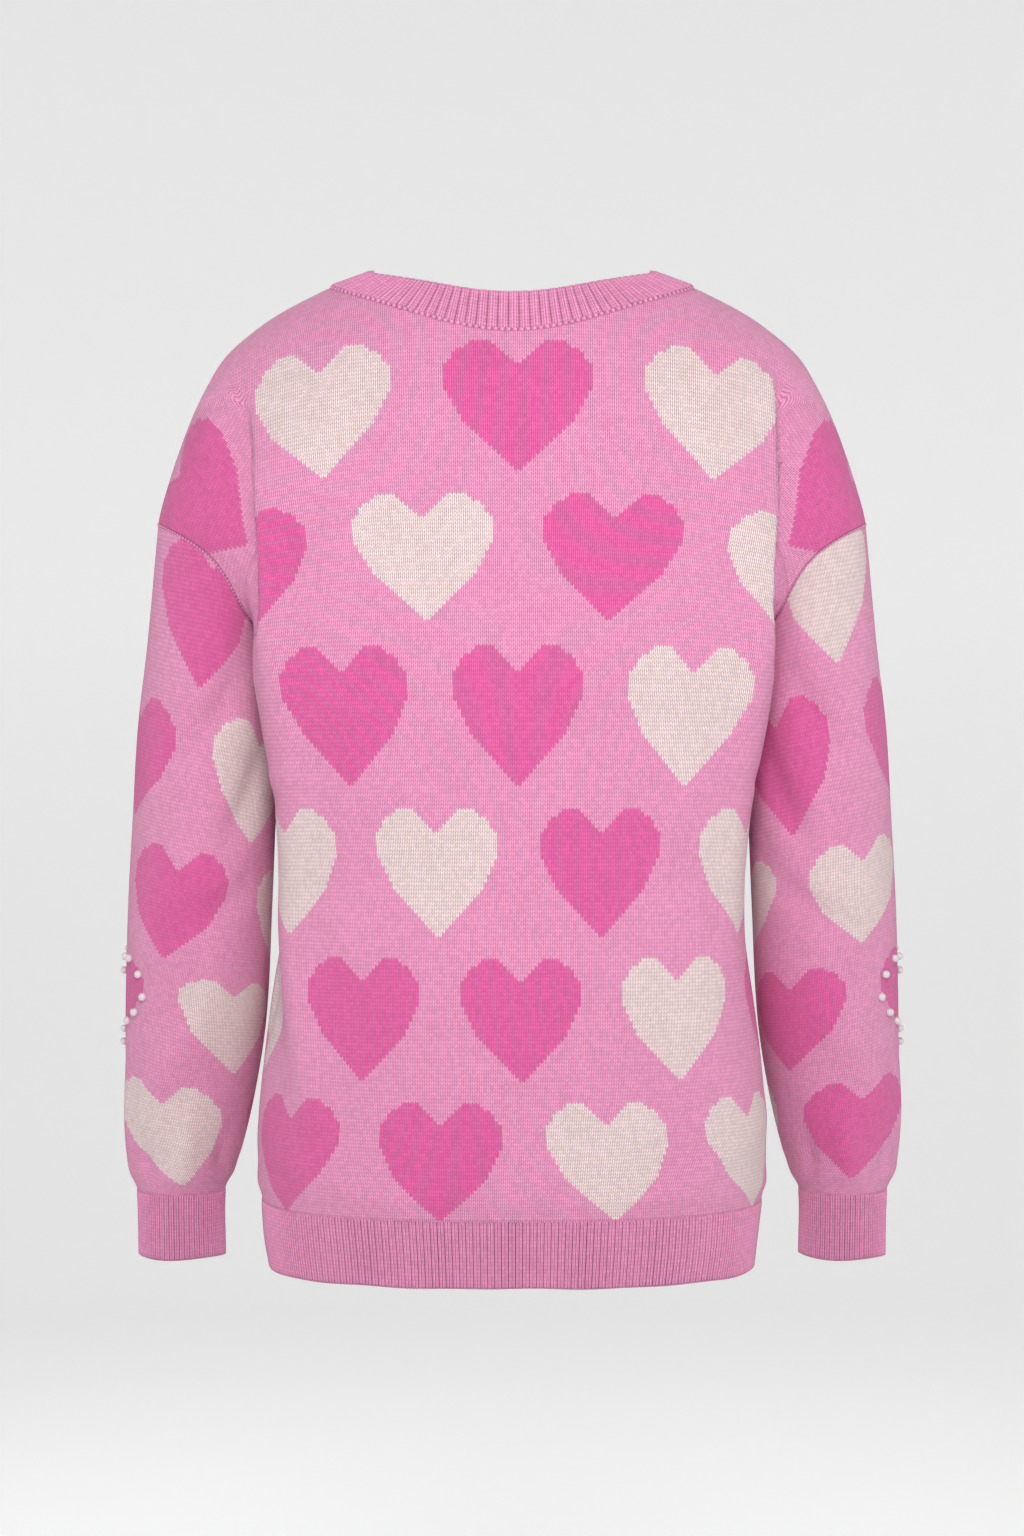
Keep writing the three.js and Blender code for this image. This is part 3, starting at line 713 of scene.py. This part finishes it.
def tuck_under(height, top):
    """How far a rib lies in where it slips under the cloth above."""
    return RIB_TUCK["under"] * smooth(height, top - RIB_TUCK["reach"], top + RIB_TUCK["over"] / 2)


def even_ribs(run, row, ridge):
    """Ridge numbers for running lengths, with an even count in a whole course."""
    return run / run[:, -1:] * (round(float(run[row, -1]) / ridge / 2) * 2)


def lower_edge_hollow(wale, height, end):
    return RIDGE_HOLLOW * ridge_hollow(wale) * (1 - 0.4 * bell(height, end, 2.5))


def build_hem_rib(face):
    columns, rows = HEM_GRID
    z = lerp(HEM_Z, HEM_RIB_TOP_Z + RIB_TUCK["over"], even(rows))[:, None]
    bearing = lerp(pi / 2, 0.0, np.linspace(0.0, 1.0, FINE))[None, :]
    points = both_hands(face, *even_columns(face, *np.broadcast_arrays(bearing, z), columns))
    wale = even_ribs(lengths_along(points, 1), rows // 2, HEM_RIDGE)
    height = points[..., 2]
    wave = 1.4 * bell(height, HEM_Z + 20, 18.0) * np.sin(wale / 23 + (face == "back"))
    points = push_out(points, wave - tuck_under(height, HEM_RIB_TOP_Z))
    points[..., 2] += 0.5 * bell(height, HEM_Z, 12.0) * np.sin(wale / 5.3) * np.sin(wale / 17 + 1)
    return rib_object(f"hem_rib_{face}_knit", points, wale, lower_edge_hollow(wale, height, HEM_Z),
                      (height - HEM_Z) / STITCH_W, GROOVE["hem"])


def build_cuff(label):
    hand = HANDS[label]
    sides, rows = CUFF_GRID
    turn = even(sides, -pi, pi)[None, :]
    z = lerp(CUFF_TOP_Z + RIB_TUCK["over"], CUFF_END_Z, even(rows))[:, None]
    whole = sleeve_oval(hand, turn, z)
    wale = even_ribs(lengths_along(whole, 1), rows // 2, CUFF_RIDGE)
    course = (z - CUFF_END_Z) / STITCH_W * np.ones_like(turn)
    points = push_out(whole[:, :-1], -tuck_under(whole[:, :-1, 2], CUFF_TOP_Z), closed=True)
    points[..., 2] += 0.6 * bell(points[..., 2], CUFF_END_Z, 12.0) * np.sin(3 * turn[:, :-1] + hand)
    return rib_object(f"cuff_{label}_knit", points, wale, lower_edge_hollow(wale, z, CUFF_END_Z),
                      course, GROOVE["cuff"], closed=True)


def neck_seam(turn):
    """The neck seam once round from the left shoulder over the back."""
    bearing = np.arcsin(np.minimum(1.0, np.abs(np.sin(turn))))
    hand = np.where(np.cos(turn) >= 0, 1.0, -1.0)
    halves = (body_point(face, hand, bearing, neck_height(face, bearing)) for face in FACES)
    return np.where((np.sin(turn) >= 0)[..., None], *halves)


def neck_rib_point(turn, share):
    """Neck rib: leans in from the seam, least at the back and most at the sides."""
    seam = neck_seam(turn)
    upright = np.abs(np.sin(turn)) ** NECK_RIB_SLANT["change"]
    end = np.where(np.sin(turn) >= 0, NECK_RIB_SLANT["back"], NECK_RIB_SLANT["front"])
    slant = np.radians(lerp(NECK_RIB_SLANT["side"], end, upright))
    inward = -seam * np.sin(slant)[..., None] / np.hypot(seam[..., 0], seam[..., 1])[..., None]
    rise = xyz(inward[..., 0], inward[..., 1], np.cos(slant))
    return seam + rise * (SEAM_GAP * 2 + NECK_RIB_WIDTH * share)[..., None]


def build_neck_rib():
    sides, rows = NECK_GRID
    fine = even(2000, 0.0, 2 * pi)
    run = lengths_along(neck_seam(fine)[None], 1)[0]
    turn, share = np.meshgrid(np.interp(even(sides, 0.0, run[-1]), run, fine), even(rows))
    points = neck_rib_point(turn, share)
    repeats = round(float(run[-1]) / NECK_REPEAT)
    place = even(sides, 0.0, repeats)[None, :] * np.ones((rows + 1, 1))
    soft = 1 - 0.6 * bell(share, 1.0, 0.09) - 0.3 * bell(share, 0.0, 0.08)
    return rib_object("neck_rib_knit", points[:, :-1], 2 * place,
                      NECK_HOLLOW_SHARE * neck_hollow(place) * soft,
                      share * NECK_RIB_WIDTH / STITCH_W, GROOVE["neck"], closed=True)


# ---- seams and beads ----


def seam_object(name, path, radius, stitch, closed=False):
    """A linked seam: a cord along the path that swells once in each stitch."""
    run = lengths_along(path[None], 1)[0]
    steps = max(8, round(float(run[-1]) / stitch)) * SEAM_STEPS
    path = np.stack([np.interp(even(steps, 0.0, run[-1]), run, path[:, k]) for k in range(3)], axis=-1)
    if closed:
        path = path[:-1]
        ahead = np.roll(path, -1, axis=0) - np.roll(path, 1, axis=0)
    else:
        ahead = np.gradient(path, axis=0)
    ahead /= np.linalg.norm(ahead, axis=-1, keepdims=True)
    side = np.cross(ahead, path * np.array([1.0, 1.0, 0.0]) + np.array([0.0, 0.0, 0.2]))
    side /= np.linalg.norm(side, axis=-1, keepdims=True)
    out = np.cross(side, ahead)
    place = np.arange(len(path)) / SEAM_STEPS
    swell = radius * (0.5 + 0.5 * np.abs(np.sin(pi * place)) ** 0.7)
    around = even(8, 0.0, 2 * pi)[:-1][None, :, None]
    ring = side[:, None] * np.cos(around) + out[:, None] * np.sin(around)
    points = path[:, None] + ring * swell[:, None, None]
    wide = np.ones((1, len(ring[0]) + 1))
    # The hollow mark paints shade in the narrows between the cord's swells.
    marks = {"wale": plain_places(len(path), wide.size)["wale"], "course": place[:, None] * wide,
             "hollow": (1 - np.abs(np.sin(pi * place)))[:, None] * wide}
    if closed:
        points = np.concatenate([points, points[:1]])
        marks = {key: np.concatenate([value, value[:1]]) for key, value in marks.items()}
    return cloth_object(name, points, marks, closed=True)


def armhole_seam_path(hand):
    turn = np.linspace(-0.86 * pi, 0.86 * pi, 420)
    return armhole_point(hand, turn) + np.array([0.0, 0.0, -0.3])


def shoulder_seam_path(hand):
    z = SHOULDER_TIP_Z * np.linspace(0.004, 0.985, 200) ** SHOULDER_FALL
    return body_point("back", hand, np.zeros_like(z), z) * np.array([1.0, 0.0, 1.0])


def build_pearl(node, sides):
    """A round bead, sunk towards the sleeve's middle: its node's middle plus its radius
    times the cosines and sines of latitude and longitude."""
    rings = sides * 2 // 3
    low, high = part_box(node)
    middle = np.array((low + high) / 2) / MM
    hand = math.copysign(1.0, middle[0])
    arm = sleeve_oval(hand, np.array([0.0, pi]), np.full(2, middle[2])).mean(axis=0)
    inward = (arm - middle) * np.array([1.0, 1.0, 0.0])
    middle = middle + inward / np.linalg.norm(inward) * BEAD_SINK
    radius = float(max(high - low)) / 2 / MM
    latitude = even(rings, -pi / 2, pi / 2)[:, None]
    longitude = even(sides, 0.0, 2 * pi)[None, :-1]
    ball = xyz(np.cos(latitude) * np.cos(longitude), np.cos(latitude) * np.sin(longitude), np.sin(latitude))
    return cloth_object(f"{node}_bead", middle + radius * ball, plain_places(rings + 1, sides + 1),
                        closed=True)


# ---- materials ----


def linear_colour(hex_colour):
    """A #RRGGBB colour as linear light, with the sRGB curve."""
    channels = [int(hex_colour[i:i + 2], 16) / 255 for i in (1, 3, 5)]
    return tuple(c / 12.92 if c <= 0.04045 else ((c + 0.055) / 1.055) ** 2.4 for c in channels)


def add_node(tree, kind, settings=None, inputs=None):
    """Add a node, set its properties, and link or fill its inputs. A node is linked by
    its first output."""
    node = tree.nodes.new("ShaderNode" + kind)
    for key, value in (settings or {}).items():
        setattr(node, key, value)
    for key, value in (inputs or {}).items():
        if isinstance(value, bpy.types.Node):
            value = value.outputs[0]
        if isinstance(value, bpy.types.NodeSocket):
            tree.links.new(value, node.inputs[key])
        else:
            node.inputs[key].default_value = value
    return node


def calc(tree, operation, *inputs, clamp=False):
    """Add a node that works out one number from up to three."""
    return add_node(tree, "Math", {"operation": operation, "use_clamp": clamp}, dict(enumerate(inputs)))


def ranged(tree, value, *limits):
    """Map a value from the first two limits to the last two."""
    return add_node(tree, "MapRange", None, dict(enumerate((value, *limits))))


def noise(tree, scale, detail):
    """Soft noise in the object's own place."""
    spot = add_node(tree, "TexCoord").outputs["Object"]
    return add_node(tree, "TexNoise", None, {"Vector": spot, "Scale": scale, "Detail": detail})


def mixed(tree, share, first, second):
    """The first colour at share 0 and the second at 1."""
    first, second = (each if isinstance(each, bpy.types.NodeSocket) else (*each, 1.0)
                     for each in (first, second))
    return add_node(tree, "Mix", {"data_type": "RGBA"}, {0: share, 6: first, 7: second}).outputs[2]


def material_of(build, settings):
    """The material named after the function that builds its shader, made on first use."""
    material = bpy.data.materials.get(build.__name__)
    if material is None:
        material = bpy.data.materials.new(build.__name__)
        material.use_nodes = True
        tree = material.node_tree
        tree.nodes.clear()
        add_node(tree, "OutputMaterial", None, {"Surface": build(tree, settings)})
    return material


def stitch_nodes(tree):
    """The V stitch. Across a wale a is 0 at the middle and 1 at the gap. The legs rise
    outwards, so a course starts 0.6 a higher. A leg's height is the root of its crest,
    0.35 to 1 as the sine along it, times the sine across it."""
    knit = add_node(tree, "UVMap", {"uv_map": "knit"})
    wale, course = add_node(tree, "SeparateXYZ", None, {0: knit}).outputs[:2]
    away = calc(tree, "ABSOLUTE", calc(tree, "SUBTRACT", calc(tree, "FRACT", wale), 0.5))
    across = calc(tree, "MULTIPLY", away, 2.0)
    leg = calc(tree, "MULTIPLY_ADD", across, -0.6, course)
    along = calc(tree, "PINGPONG", calc(tree, "FRACT", leg), 0.5)
    crest = calc(tree, "SINE", calc(tree, "MULTIPLY", along, pi))
    yarn = calc(tree, "SINE", calc(tree, "MULTIPLY", across, pi))
    both = calc(tree, "MULTIPLY", calc(tree, "MULTIPLY_ADD", crest, 0.65, 0.35), yarn)
    height = calc(tree, "POWER", both, 0.5, clamp=True)
    stitch = [calc(tree, "ADD", calc(tree, "FLOOR", place), 0.5) for place in (wale, leg)]
    return height, *stitch


def heart_nodes(tree, wale, course):
    """1 on a heart's stitches. With x from 0 at its middle to 1 and y from 0 at its tip to
    1, the sides keep x under (sin of a quarter turn times y/0.76)^0.92, and two lobes
    keep y under 0.78 + 0.22 (sin of half a turn times x)^0.85. Every second row is half
    a cell aside."""
    across, up = HEART_CELL
    wide, high = HEART_SIZE
    row = calc(tree, "FLOOR", calc(tree, "DIVIDE", calc(tree, "ADD", course, HEART_GAP), up))
    odd = calc(tree, "FLOORED_MODULO", row, 2.0)
    shifted = calc(tree, "MULTIPLY_ADD", odd, across / 2, wale)
    nearest = calc(tree, "ROUND", calc(tree, "DIVIDE", shifted, across))
    aside = calc(tree, "ABSOLUTE", calc(tree, "MULTIPLY_ADD", nearest, -across, shifted))
    x = calc(tree, "DIVIDE", aside, wide / 2)
    y = calc(tree, "DIVIDE", calc(tree, "MULTIPLY_ADD", row, -up, course), high)
    climb = calc(tree, "DIVIDE", y, 0.76, clamp=True)
    side = calc(tree, "POWER", calc(tree, "SINE", calc(tree, "MULTIPLY", climb, pi / 2)), 0.92)
    hump = calc(tree, "SINE", calc(tree, "MULTIPLY", x, pi), clamp=True)
    crown = calc(tree, "MULTIPLY_ADD", calc(tree, "POWER", hump, 0.85), 0.22, 0.78)
    inside = calc(tree, "MULTIPLY", calc(tree, "LESS_THAN", x, side), calc(tree, "LESS_THAN", y, crown))
    return calc(tree, "MULTIPLY", inside, calc(tree, "LESS_THAN", row, 0.5))


def dyed(tree, wale, course, colour):
    """The same colour a little lighter or darker from stitch to stitch."""
    spot = add_node(tree, "CombineXYZ", None, {0: wale, 1: course})
    chance = add_node(tree, "TexWhiteNoise", {"noise_dimensions": "2D"}, {"Vector": spot})
    vary = ranged(tree, chance, 0.0, 1.0, 0.93, 1.07)
    return add_node(tree, "VectorMath", {"operation": "SCALE"}, {0: colour, "Scale": vary})


def wool_shader(tree, colour, height, relief, groove=1.0):
    """Wool-blend knit: matt, with a soft halo of fibre ends and shade between stitches."""
    gap = calc(tree, "MULTIPLY", ranged(tree, height, 0.0, 0.95, 0.34, 1.04), groove)
    mottle = ranged(tree, noise(tree, 26.0, 3.0), 0.3, 0.7, 0.98, 1.02)
    shade = calc(tree, "MULTIPLY", gap, mottle)
    lit = add_node(tree, "VectorMath", {"operation": "SCALE"}, {0: colour, "Scale": shade})
    soft = add_node(tree, "Bump", None, {
        "Height": noise(tree, 48.0, 2.0), "Strength": 0.2, "Distance": 0.004})
    bump = add_node(tree, "Bump", None, {
        "Height": height, "Strength": 0.8, "Distance": relief * MM, "Normal": soft})
    return add_node(tree, "BsdfPrincipled", None, {
        "Base Color": lit, "Roughness": 0.92, "Specular IOR Level": 0.2,
        "Sheen Weight": 0.22, "Sheen Roughness": 0.5, "Normal": bump})


def wool_jacquard_knit(tree, settings):
    """Double-bed jacquard in wool blend: the second and third yarns show a little
    between the stitches in front, so cream is speckled with the ground's pink."""
    height, wale, course = stitch_nodes(tree)
    tone = add_node(tree, "Attribute", {"attribute_name": "tone"}).outputs["Fac"]
    heart_colour = mixed(tree, calc(tree, "GREATER_THAN", tone, 0.5), settings.hot_pink, settings.cream)
    charted = calc(tree, "GREATER_THAN", tone, -0.5)
    shown = calc(tree, "MULTIPLY", heart_nodes(tree, wale, course), charted)
    face = mixed(tree, shown, settings.ground_pink, heart_colour)
    under = mixed(tree, ranged(tree, height, 0.0, 0.75, 0.45, 0.0), face, settings.ground_pink)
    return wool_shader(tree, dyed(tree, wale, course, under), height, 0.7)


def wool_rib_knit(tree, settings):
    """Rib in the ground's yarn alone. Its grooves hold shade and its ridges catch light."""
    height, wale, course = stitch_nodes(tree)
    hollow = add_node(tree, "Attribute", {"attribute_name": "hollow"}).outputs["Fac"]
    groove = ranged(tree, hollow, 0.0, 1.0, 1.05, 0.36)
    return wool_shader(tree, dyed(tree, wale, course, tuple(settings.rib_pink)), height, 0.4, groove)


def lacquered_acrylic_pearl(tree, settings):
    """Moulded acrylic bead under a pearl lacquer: a bright, slightly soft highlight over
    a milky body with a faint warm and cool play."""
    return add_node(tree, "BsdfPrincipled", None, {
        "Base Color": mixed(tree, noise(tree, 240.0, 2.0), settings.warm, settings.cool),
        "Roughness": 0.22, "IOR": 1.49, "Subsurface Weight": 0.15, "Subsurface Scale": 0.001,
        "Coat Weight": 0.7, "Coat Roughness": 0.08})


def studio_paper(tree, settings):
    """Seamless paper under even light: matt and nearly white, with a very fine tooth."""
    bump = add_node(tree, "Bump", None, {
        "Height": noise(tree, 900.0, 2.0), "Strength": 0.05, "Distance": 0.0005})
    return add_node(tree, "BsdfPrincipled", None, {
        "Base Color": (*settings.paper, 1.0), "Roughness": 0.95, "Specular IOR Level": 0.1,
        "Emission Color": (*settings.paper, 1.0), "Emission Strength": settings.paper_glow,
        "Normal": bump})


# ---- settings ----


def colour_setting(name, description, hex_colour):
    return bpy.props.FloatVectorProperty(name=name, description=description, subtype="COLOR",
                                         default=linear_colour(hex_colour), min=0.0, max=1.0)


def size_setting(name, description, default, low, high, unit="NONE"):
    return bpy.props.FloatProperty(name=name, description=description, default=default,
                                   min=low, max=high, unit=unit)


def count_setting(name, description, default, low, high):
    return bpy.props.IntProperty(name=name, description=description, default=default, min=low, max=high)


class SweaterKnitSettings(bpy.types.PropertyGroup):
    """Yarn colours and how finely the cloth is drawn."""

    ground_pink: colour_setting("Ground pink", "Colour of the plain knit round the hearts", "#F29CC6")
    hot_pink: colour_setting("Hot pink", "Colour of the darker hearts", "#EB64A9")
    cream: colour_setting("Cream", "Colour of the pale hearts", "#F2DCDA")
    rib_pink: colour_setting("Rib pink", "Colour of the neck rib, the hem rib and the cuffs", "#EE98C2")
    panel_columns: count_setting("Panel columns", "Grid columns of half a body panel", 104, 26, 110)
    sleeve_sides: count_setting("Sleeve sides", "Grid columns round a sleeve", 240, 48, 280)


class SweaterPearlSettings(bpy.types.PropertyGroup):
    """The sewn-on beads."""

    warm: colour_setting("Warm body", "Warmer colour of the pearl's body", "#DCD0CC")
    cool: colour_setting("Cool body", "Cooler colour of the pearl's body", "#D0CBD4")
    sides: count_setting("Bead sides", "Grid columns round a bead", 24, 12, 48)


class SweaterStudioSettings(bpy.types.PropertyGroup):
    """Floor, lights and camera."""

    paper: colour_setting("Paper", "Colour of the floor and the wall round the sweater", "#EDEDED")
    paper_glow: size_setting("Paper glow", "Light that the paper gives off, which keeps it even",
                             0.35, 0.0, 1.0)
    floor_drop: size_setting("Floor drop", "How far the floor lies below the shoulders",
                             1.45, 0.8, 2.0, "LENGTH")
    camera_distance: size_setting("Camera distance", "From the camera to the middle of the sweater",
                                  1.9, 1.0, 4.0, "LENGTH")
    key_power: size_setting("Key power", "Power of the large soft light behind the camera",
                            2.85, 0.0, 500.0, "POWER")
    fill_power: size_setting("Fill power", "Power of the soft light at the side",
                             4.0, 0.0, 500.0, "POWER")


# ---- the stage ----


def build_floor(settings, centre):
    """Seamless paper: a round floor that turns up through a quarter circle into a wall, a
    profile of radius and height carried once round the middle."""
    bend = even(13, 0.0, pi / 2)[1:]
    radius = np.concatenate([np.linspace(0.0, 4.4, 12), 4.4 + 1.6 * np.sin(bend), np.full(5, 6.0)])
    height = np.concatenate([np.zeros(12), 1.6 * (1 - np.cos(bend)), 1.6 + np.linspace(0.4, 3.4, 5)])
    radius, height = radius[:, None], height[:, None]
    turn = even(96, 0.0, 2 * pi)[None, :-1]
    points = xyz(centre[0] + radius * np.cos(turn), centre[1] + radius * np.sin(turn),
                 height - settings.floor_drop) / MM
    paper = cloth_object("studio_floor", points, plain_places(len(radius), 97), closed=True)
    paper.data.materials.append(material_of(studio_paper, settings))


def add_light(name, centre, offset, size, power, spread=pi):
    """A square soft light at an offset from the middle, turned to face it. A narrow
    spread lets it fade towards the sides."""
    light = bpy.data.lights.new(name, "AREA")
    light.shape, light.size, light.energy, light.spread = "SQUARE", size, power, spread
    lamp = bpy.data.objects.new(name, light)
    lamp.location = centre + Vector(offset)
    lamp.rotation_euler = (-Vector(offset)).to_track_quat("-Z", "Y").to_euler()
    bpy.context.scene.collection.objects.link(lamp)


# ---- operators ----


def finish_piece(obj, build, settings, slot, *nodes):
    """Give a new piece its finish and its body, and hide the nodes that it stands for."""
    obj.data.materials.append(material_of(build, settings))
    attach(obj, BODY)
    if nodes:
        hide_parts(*nodes)
    return obj


class SWEATER_OT_body(bpy.types.Operator):
    """Knit the back and the front"""

    bl_idname = "sweater.body"
    bl_label = "Body panels"

    def execute(self, context):
        settings = context.scene.sweater_knit
        for face in FACES:
            finish_piece(build_panel(face, settings.panel_columns), wool_jacquard_knit, settings,
                         "jacquard_knit", f"{face}_panel")
        return {"FINISHED"}


class SWEATER_OT_sleeves(bpy.types.Operator):
    """Knit both sleeves"""

    bl_idname = "sweater.sleeves"
    bl_label = "Sleeves"

    def execute(self, context):
        settings = context.scene.sweater_knit
        for label in HANDS:
            finish_piece(build_sleeve(label, settings.sleeve_sides), wool_jacquard_knit, settings,
                         "jacquard_knit", f"sleeve_{label}")
        return {"FINISHED"}


class SWEATER_OT_ribs(bpy.types.Operator):
    """Knit the neck rib, the hem rib and the cuffs"""

    bl_idname = "sweater.ribs"
    bl_label = "Ribs"

    def execute(self, context):
        ribs = {"neck_rib": build_neck_rib()}
        ribs.update({f"hem_rib_{face}": build_hem_rib(face) for face in FACES})
        ribs.update({f"cuff_{label}": build_cuff(label) for label in HANDS})
        for node, rib in ribs.items():
            finish_piece(rib, wool_rib_knit, context.scene.sweater_knit, "rib_knit", node)
        return {"FINISHED"}


class SWEATER_OT_seams(bpy.types.Operator):
    """Link the neck, armhole and shoulder seams, and stop if a cloth piece has not been knitted"""

    bl_idname = "sweater.seams"
    bl_label = "Seams"

    def execute(self, context):
        linked = {"neck": seam_object("neck_seam", neck_seam(np.linspace(0.0, 2 * pi, 1200)),
                                      1.7, 4.2, closed=True)}
        for label, hand in HANDS.items():
            linked[f"armhole_{label}"] = seam_object(
                f"armhole_seam_{label}", armhole_seam_path(hand), 0.9, 2.6)
            linked[f"shoulder_{label}"] = seam_object(
                f"shoulder_seam_{label}", shoulder_seam_path(hand), 0.8, 2.6)
        for seam in linked.values():
            finish_piece(seam, wool_rib_knit, context.scene.sweater_knit, "rib_knit")
        for cut in CUTS:
            piece = bpy.data.objects.get(cut["piece"])
            if piece is None:
                raise RuntimeError(f"{cut['piece']} has to be knitted before its seams are linked")
        return {"FINISHED"}


class SWEATER_OT_pearls(bpy.types.Operator):
    """Sew on the pearl hearts"""

    bl_idname = "sweater.pearls"
    bl_label = "Pearls"

    def execute(self, context):
        settings = context.scene.sweater_pearl
        names = sorted(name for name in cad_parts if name.startswith("pearl_"))
        if not names:
            raise RuntimeError("the frame has no pearl nodes")
        for name in names:
            finish_piece(build_pearl(name, settings.sides), lacquered_acrylic_pearl, settings,
                         "pearl", name)
        return {"FINISHED"}


class SWEATER_OT_studio(bpy.types.Operator):
    """Set the floor, the lights and the camera"""

    bl_idname = "sweater.studio"
    bl_label = "Studio"

    def execute(self, context):
        settings = context.scene.sweater_studio
        scene = context.scene
        centre = (Vector(CAD_BOX[0]) + Vector(CAD_BOX[1])) / 2
        build_floor(settings, centre)
        add_light("key", centre + Vector((0.0, 0.0, 0.02)), (0.0, 2.2, 1.1), 1.0, settings.key_power,
                  math.radians(38))
        add_light("fill_right", centre, (-2.4, 1.6, 0.6), 1.6, settings.fill_power)
        add_light("front", centre, (0.3, -2.4, 1.4), 1.6, settings.fill_power * 6)
        scene.world = bpy.data.worlds.new("studio_air")
        scene.world.use_nodes = True
        air = scene.world.node_tree.nodes["Background"]
        air.inputs[0].default_value = (*settings.paper, 1.0)
        air.inputs[1].default_value = 0.26
        scene.view_settings.view_transform = "Standard"
        lens = bpy.data.cameras.new("camera")
        lens.sensor_fit, lens.sensor_height, lens.lens = "VERTICAL", CAMERA["sensor"], CAMERA["lens"]
        camera = bpy.data.objects.new("camera", lens)
        camera.location = (0.0, settings.camera_distance, CAMERA["z"] * MM)
        camera.rotation_euler = (pi / 2, 0.0, pi)
        scene.collection.objects.link(camera)
        scene.camera = camera
        return {"FINISHED"}


class SWEATER_PT_parts(bpy.types.Panel):
    """Lists the sweater's parts and their settings"""

    bl_idname = "SWEATER_PT_parts"
    bl_label = "Jacquard Sweater"
    bl_space_type = "VIEW_3D"
    bl_region_type = "UI"
    bl_category = "Sweater"

    def draw(self, context):
        for name in GROUPS:
            group = getattr(context.scene, name)
            for key in group.__annotations__:
                self.layout.prop(group, key)
        for operator in OPERATORS:
            self.layout.operator(operator.bl_idname)


GROUPS = {"sweater_knit": SweaterKnitSettings, "sweater_pearl": SweaterPearlSettings,
          "sweater_studio": SweaterStudioSettings}
OPERATORS = (SWEATER_OT_body, SWEATER_OT_sleeves, SWEATER_OT_ribs, SWEATER_OT_seams,
             SWEATER_OT_pearls, SWEATER_OT_studio)
CLASSES = (*GROUPS.values(), *OPERATORS, SWEATER_PT_parts)


def register():
    for each in CLASSES:
        bpy.utils.register_class(each)
    for name, group in GROUPS.items():
        setattr(bpy.types.Scene, name, bpy.props.PointerProperty(type=group))


def unregister():
    for name in GROUPS:
        delattr(bpy.types.Scene, name)
    for each in reversed(CLASSES):
        bpy.utils.unregister_class(each)


def main():
    register()
    for step in (bpy.ops.sweater.studio, bpy.ops.sweater.body, bpy.ops.sweater.sleeves,
                 bpy.ops.sweater.ribs, bpy.ops.sweater.seams, bpy.ops.sweater.pearls):
        step()


if __name__ == "__main__":
    main()
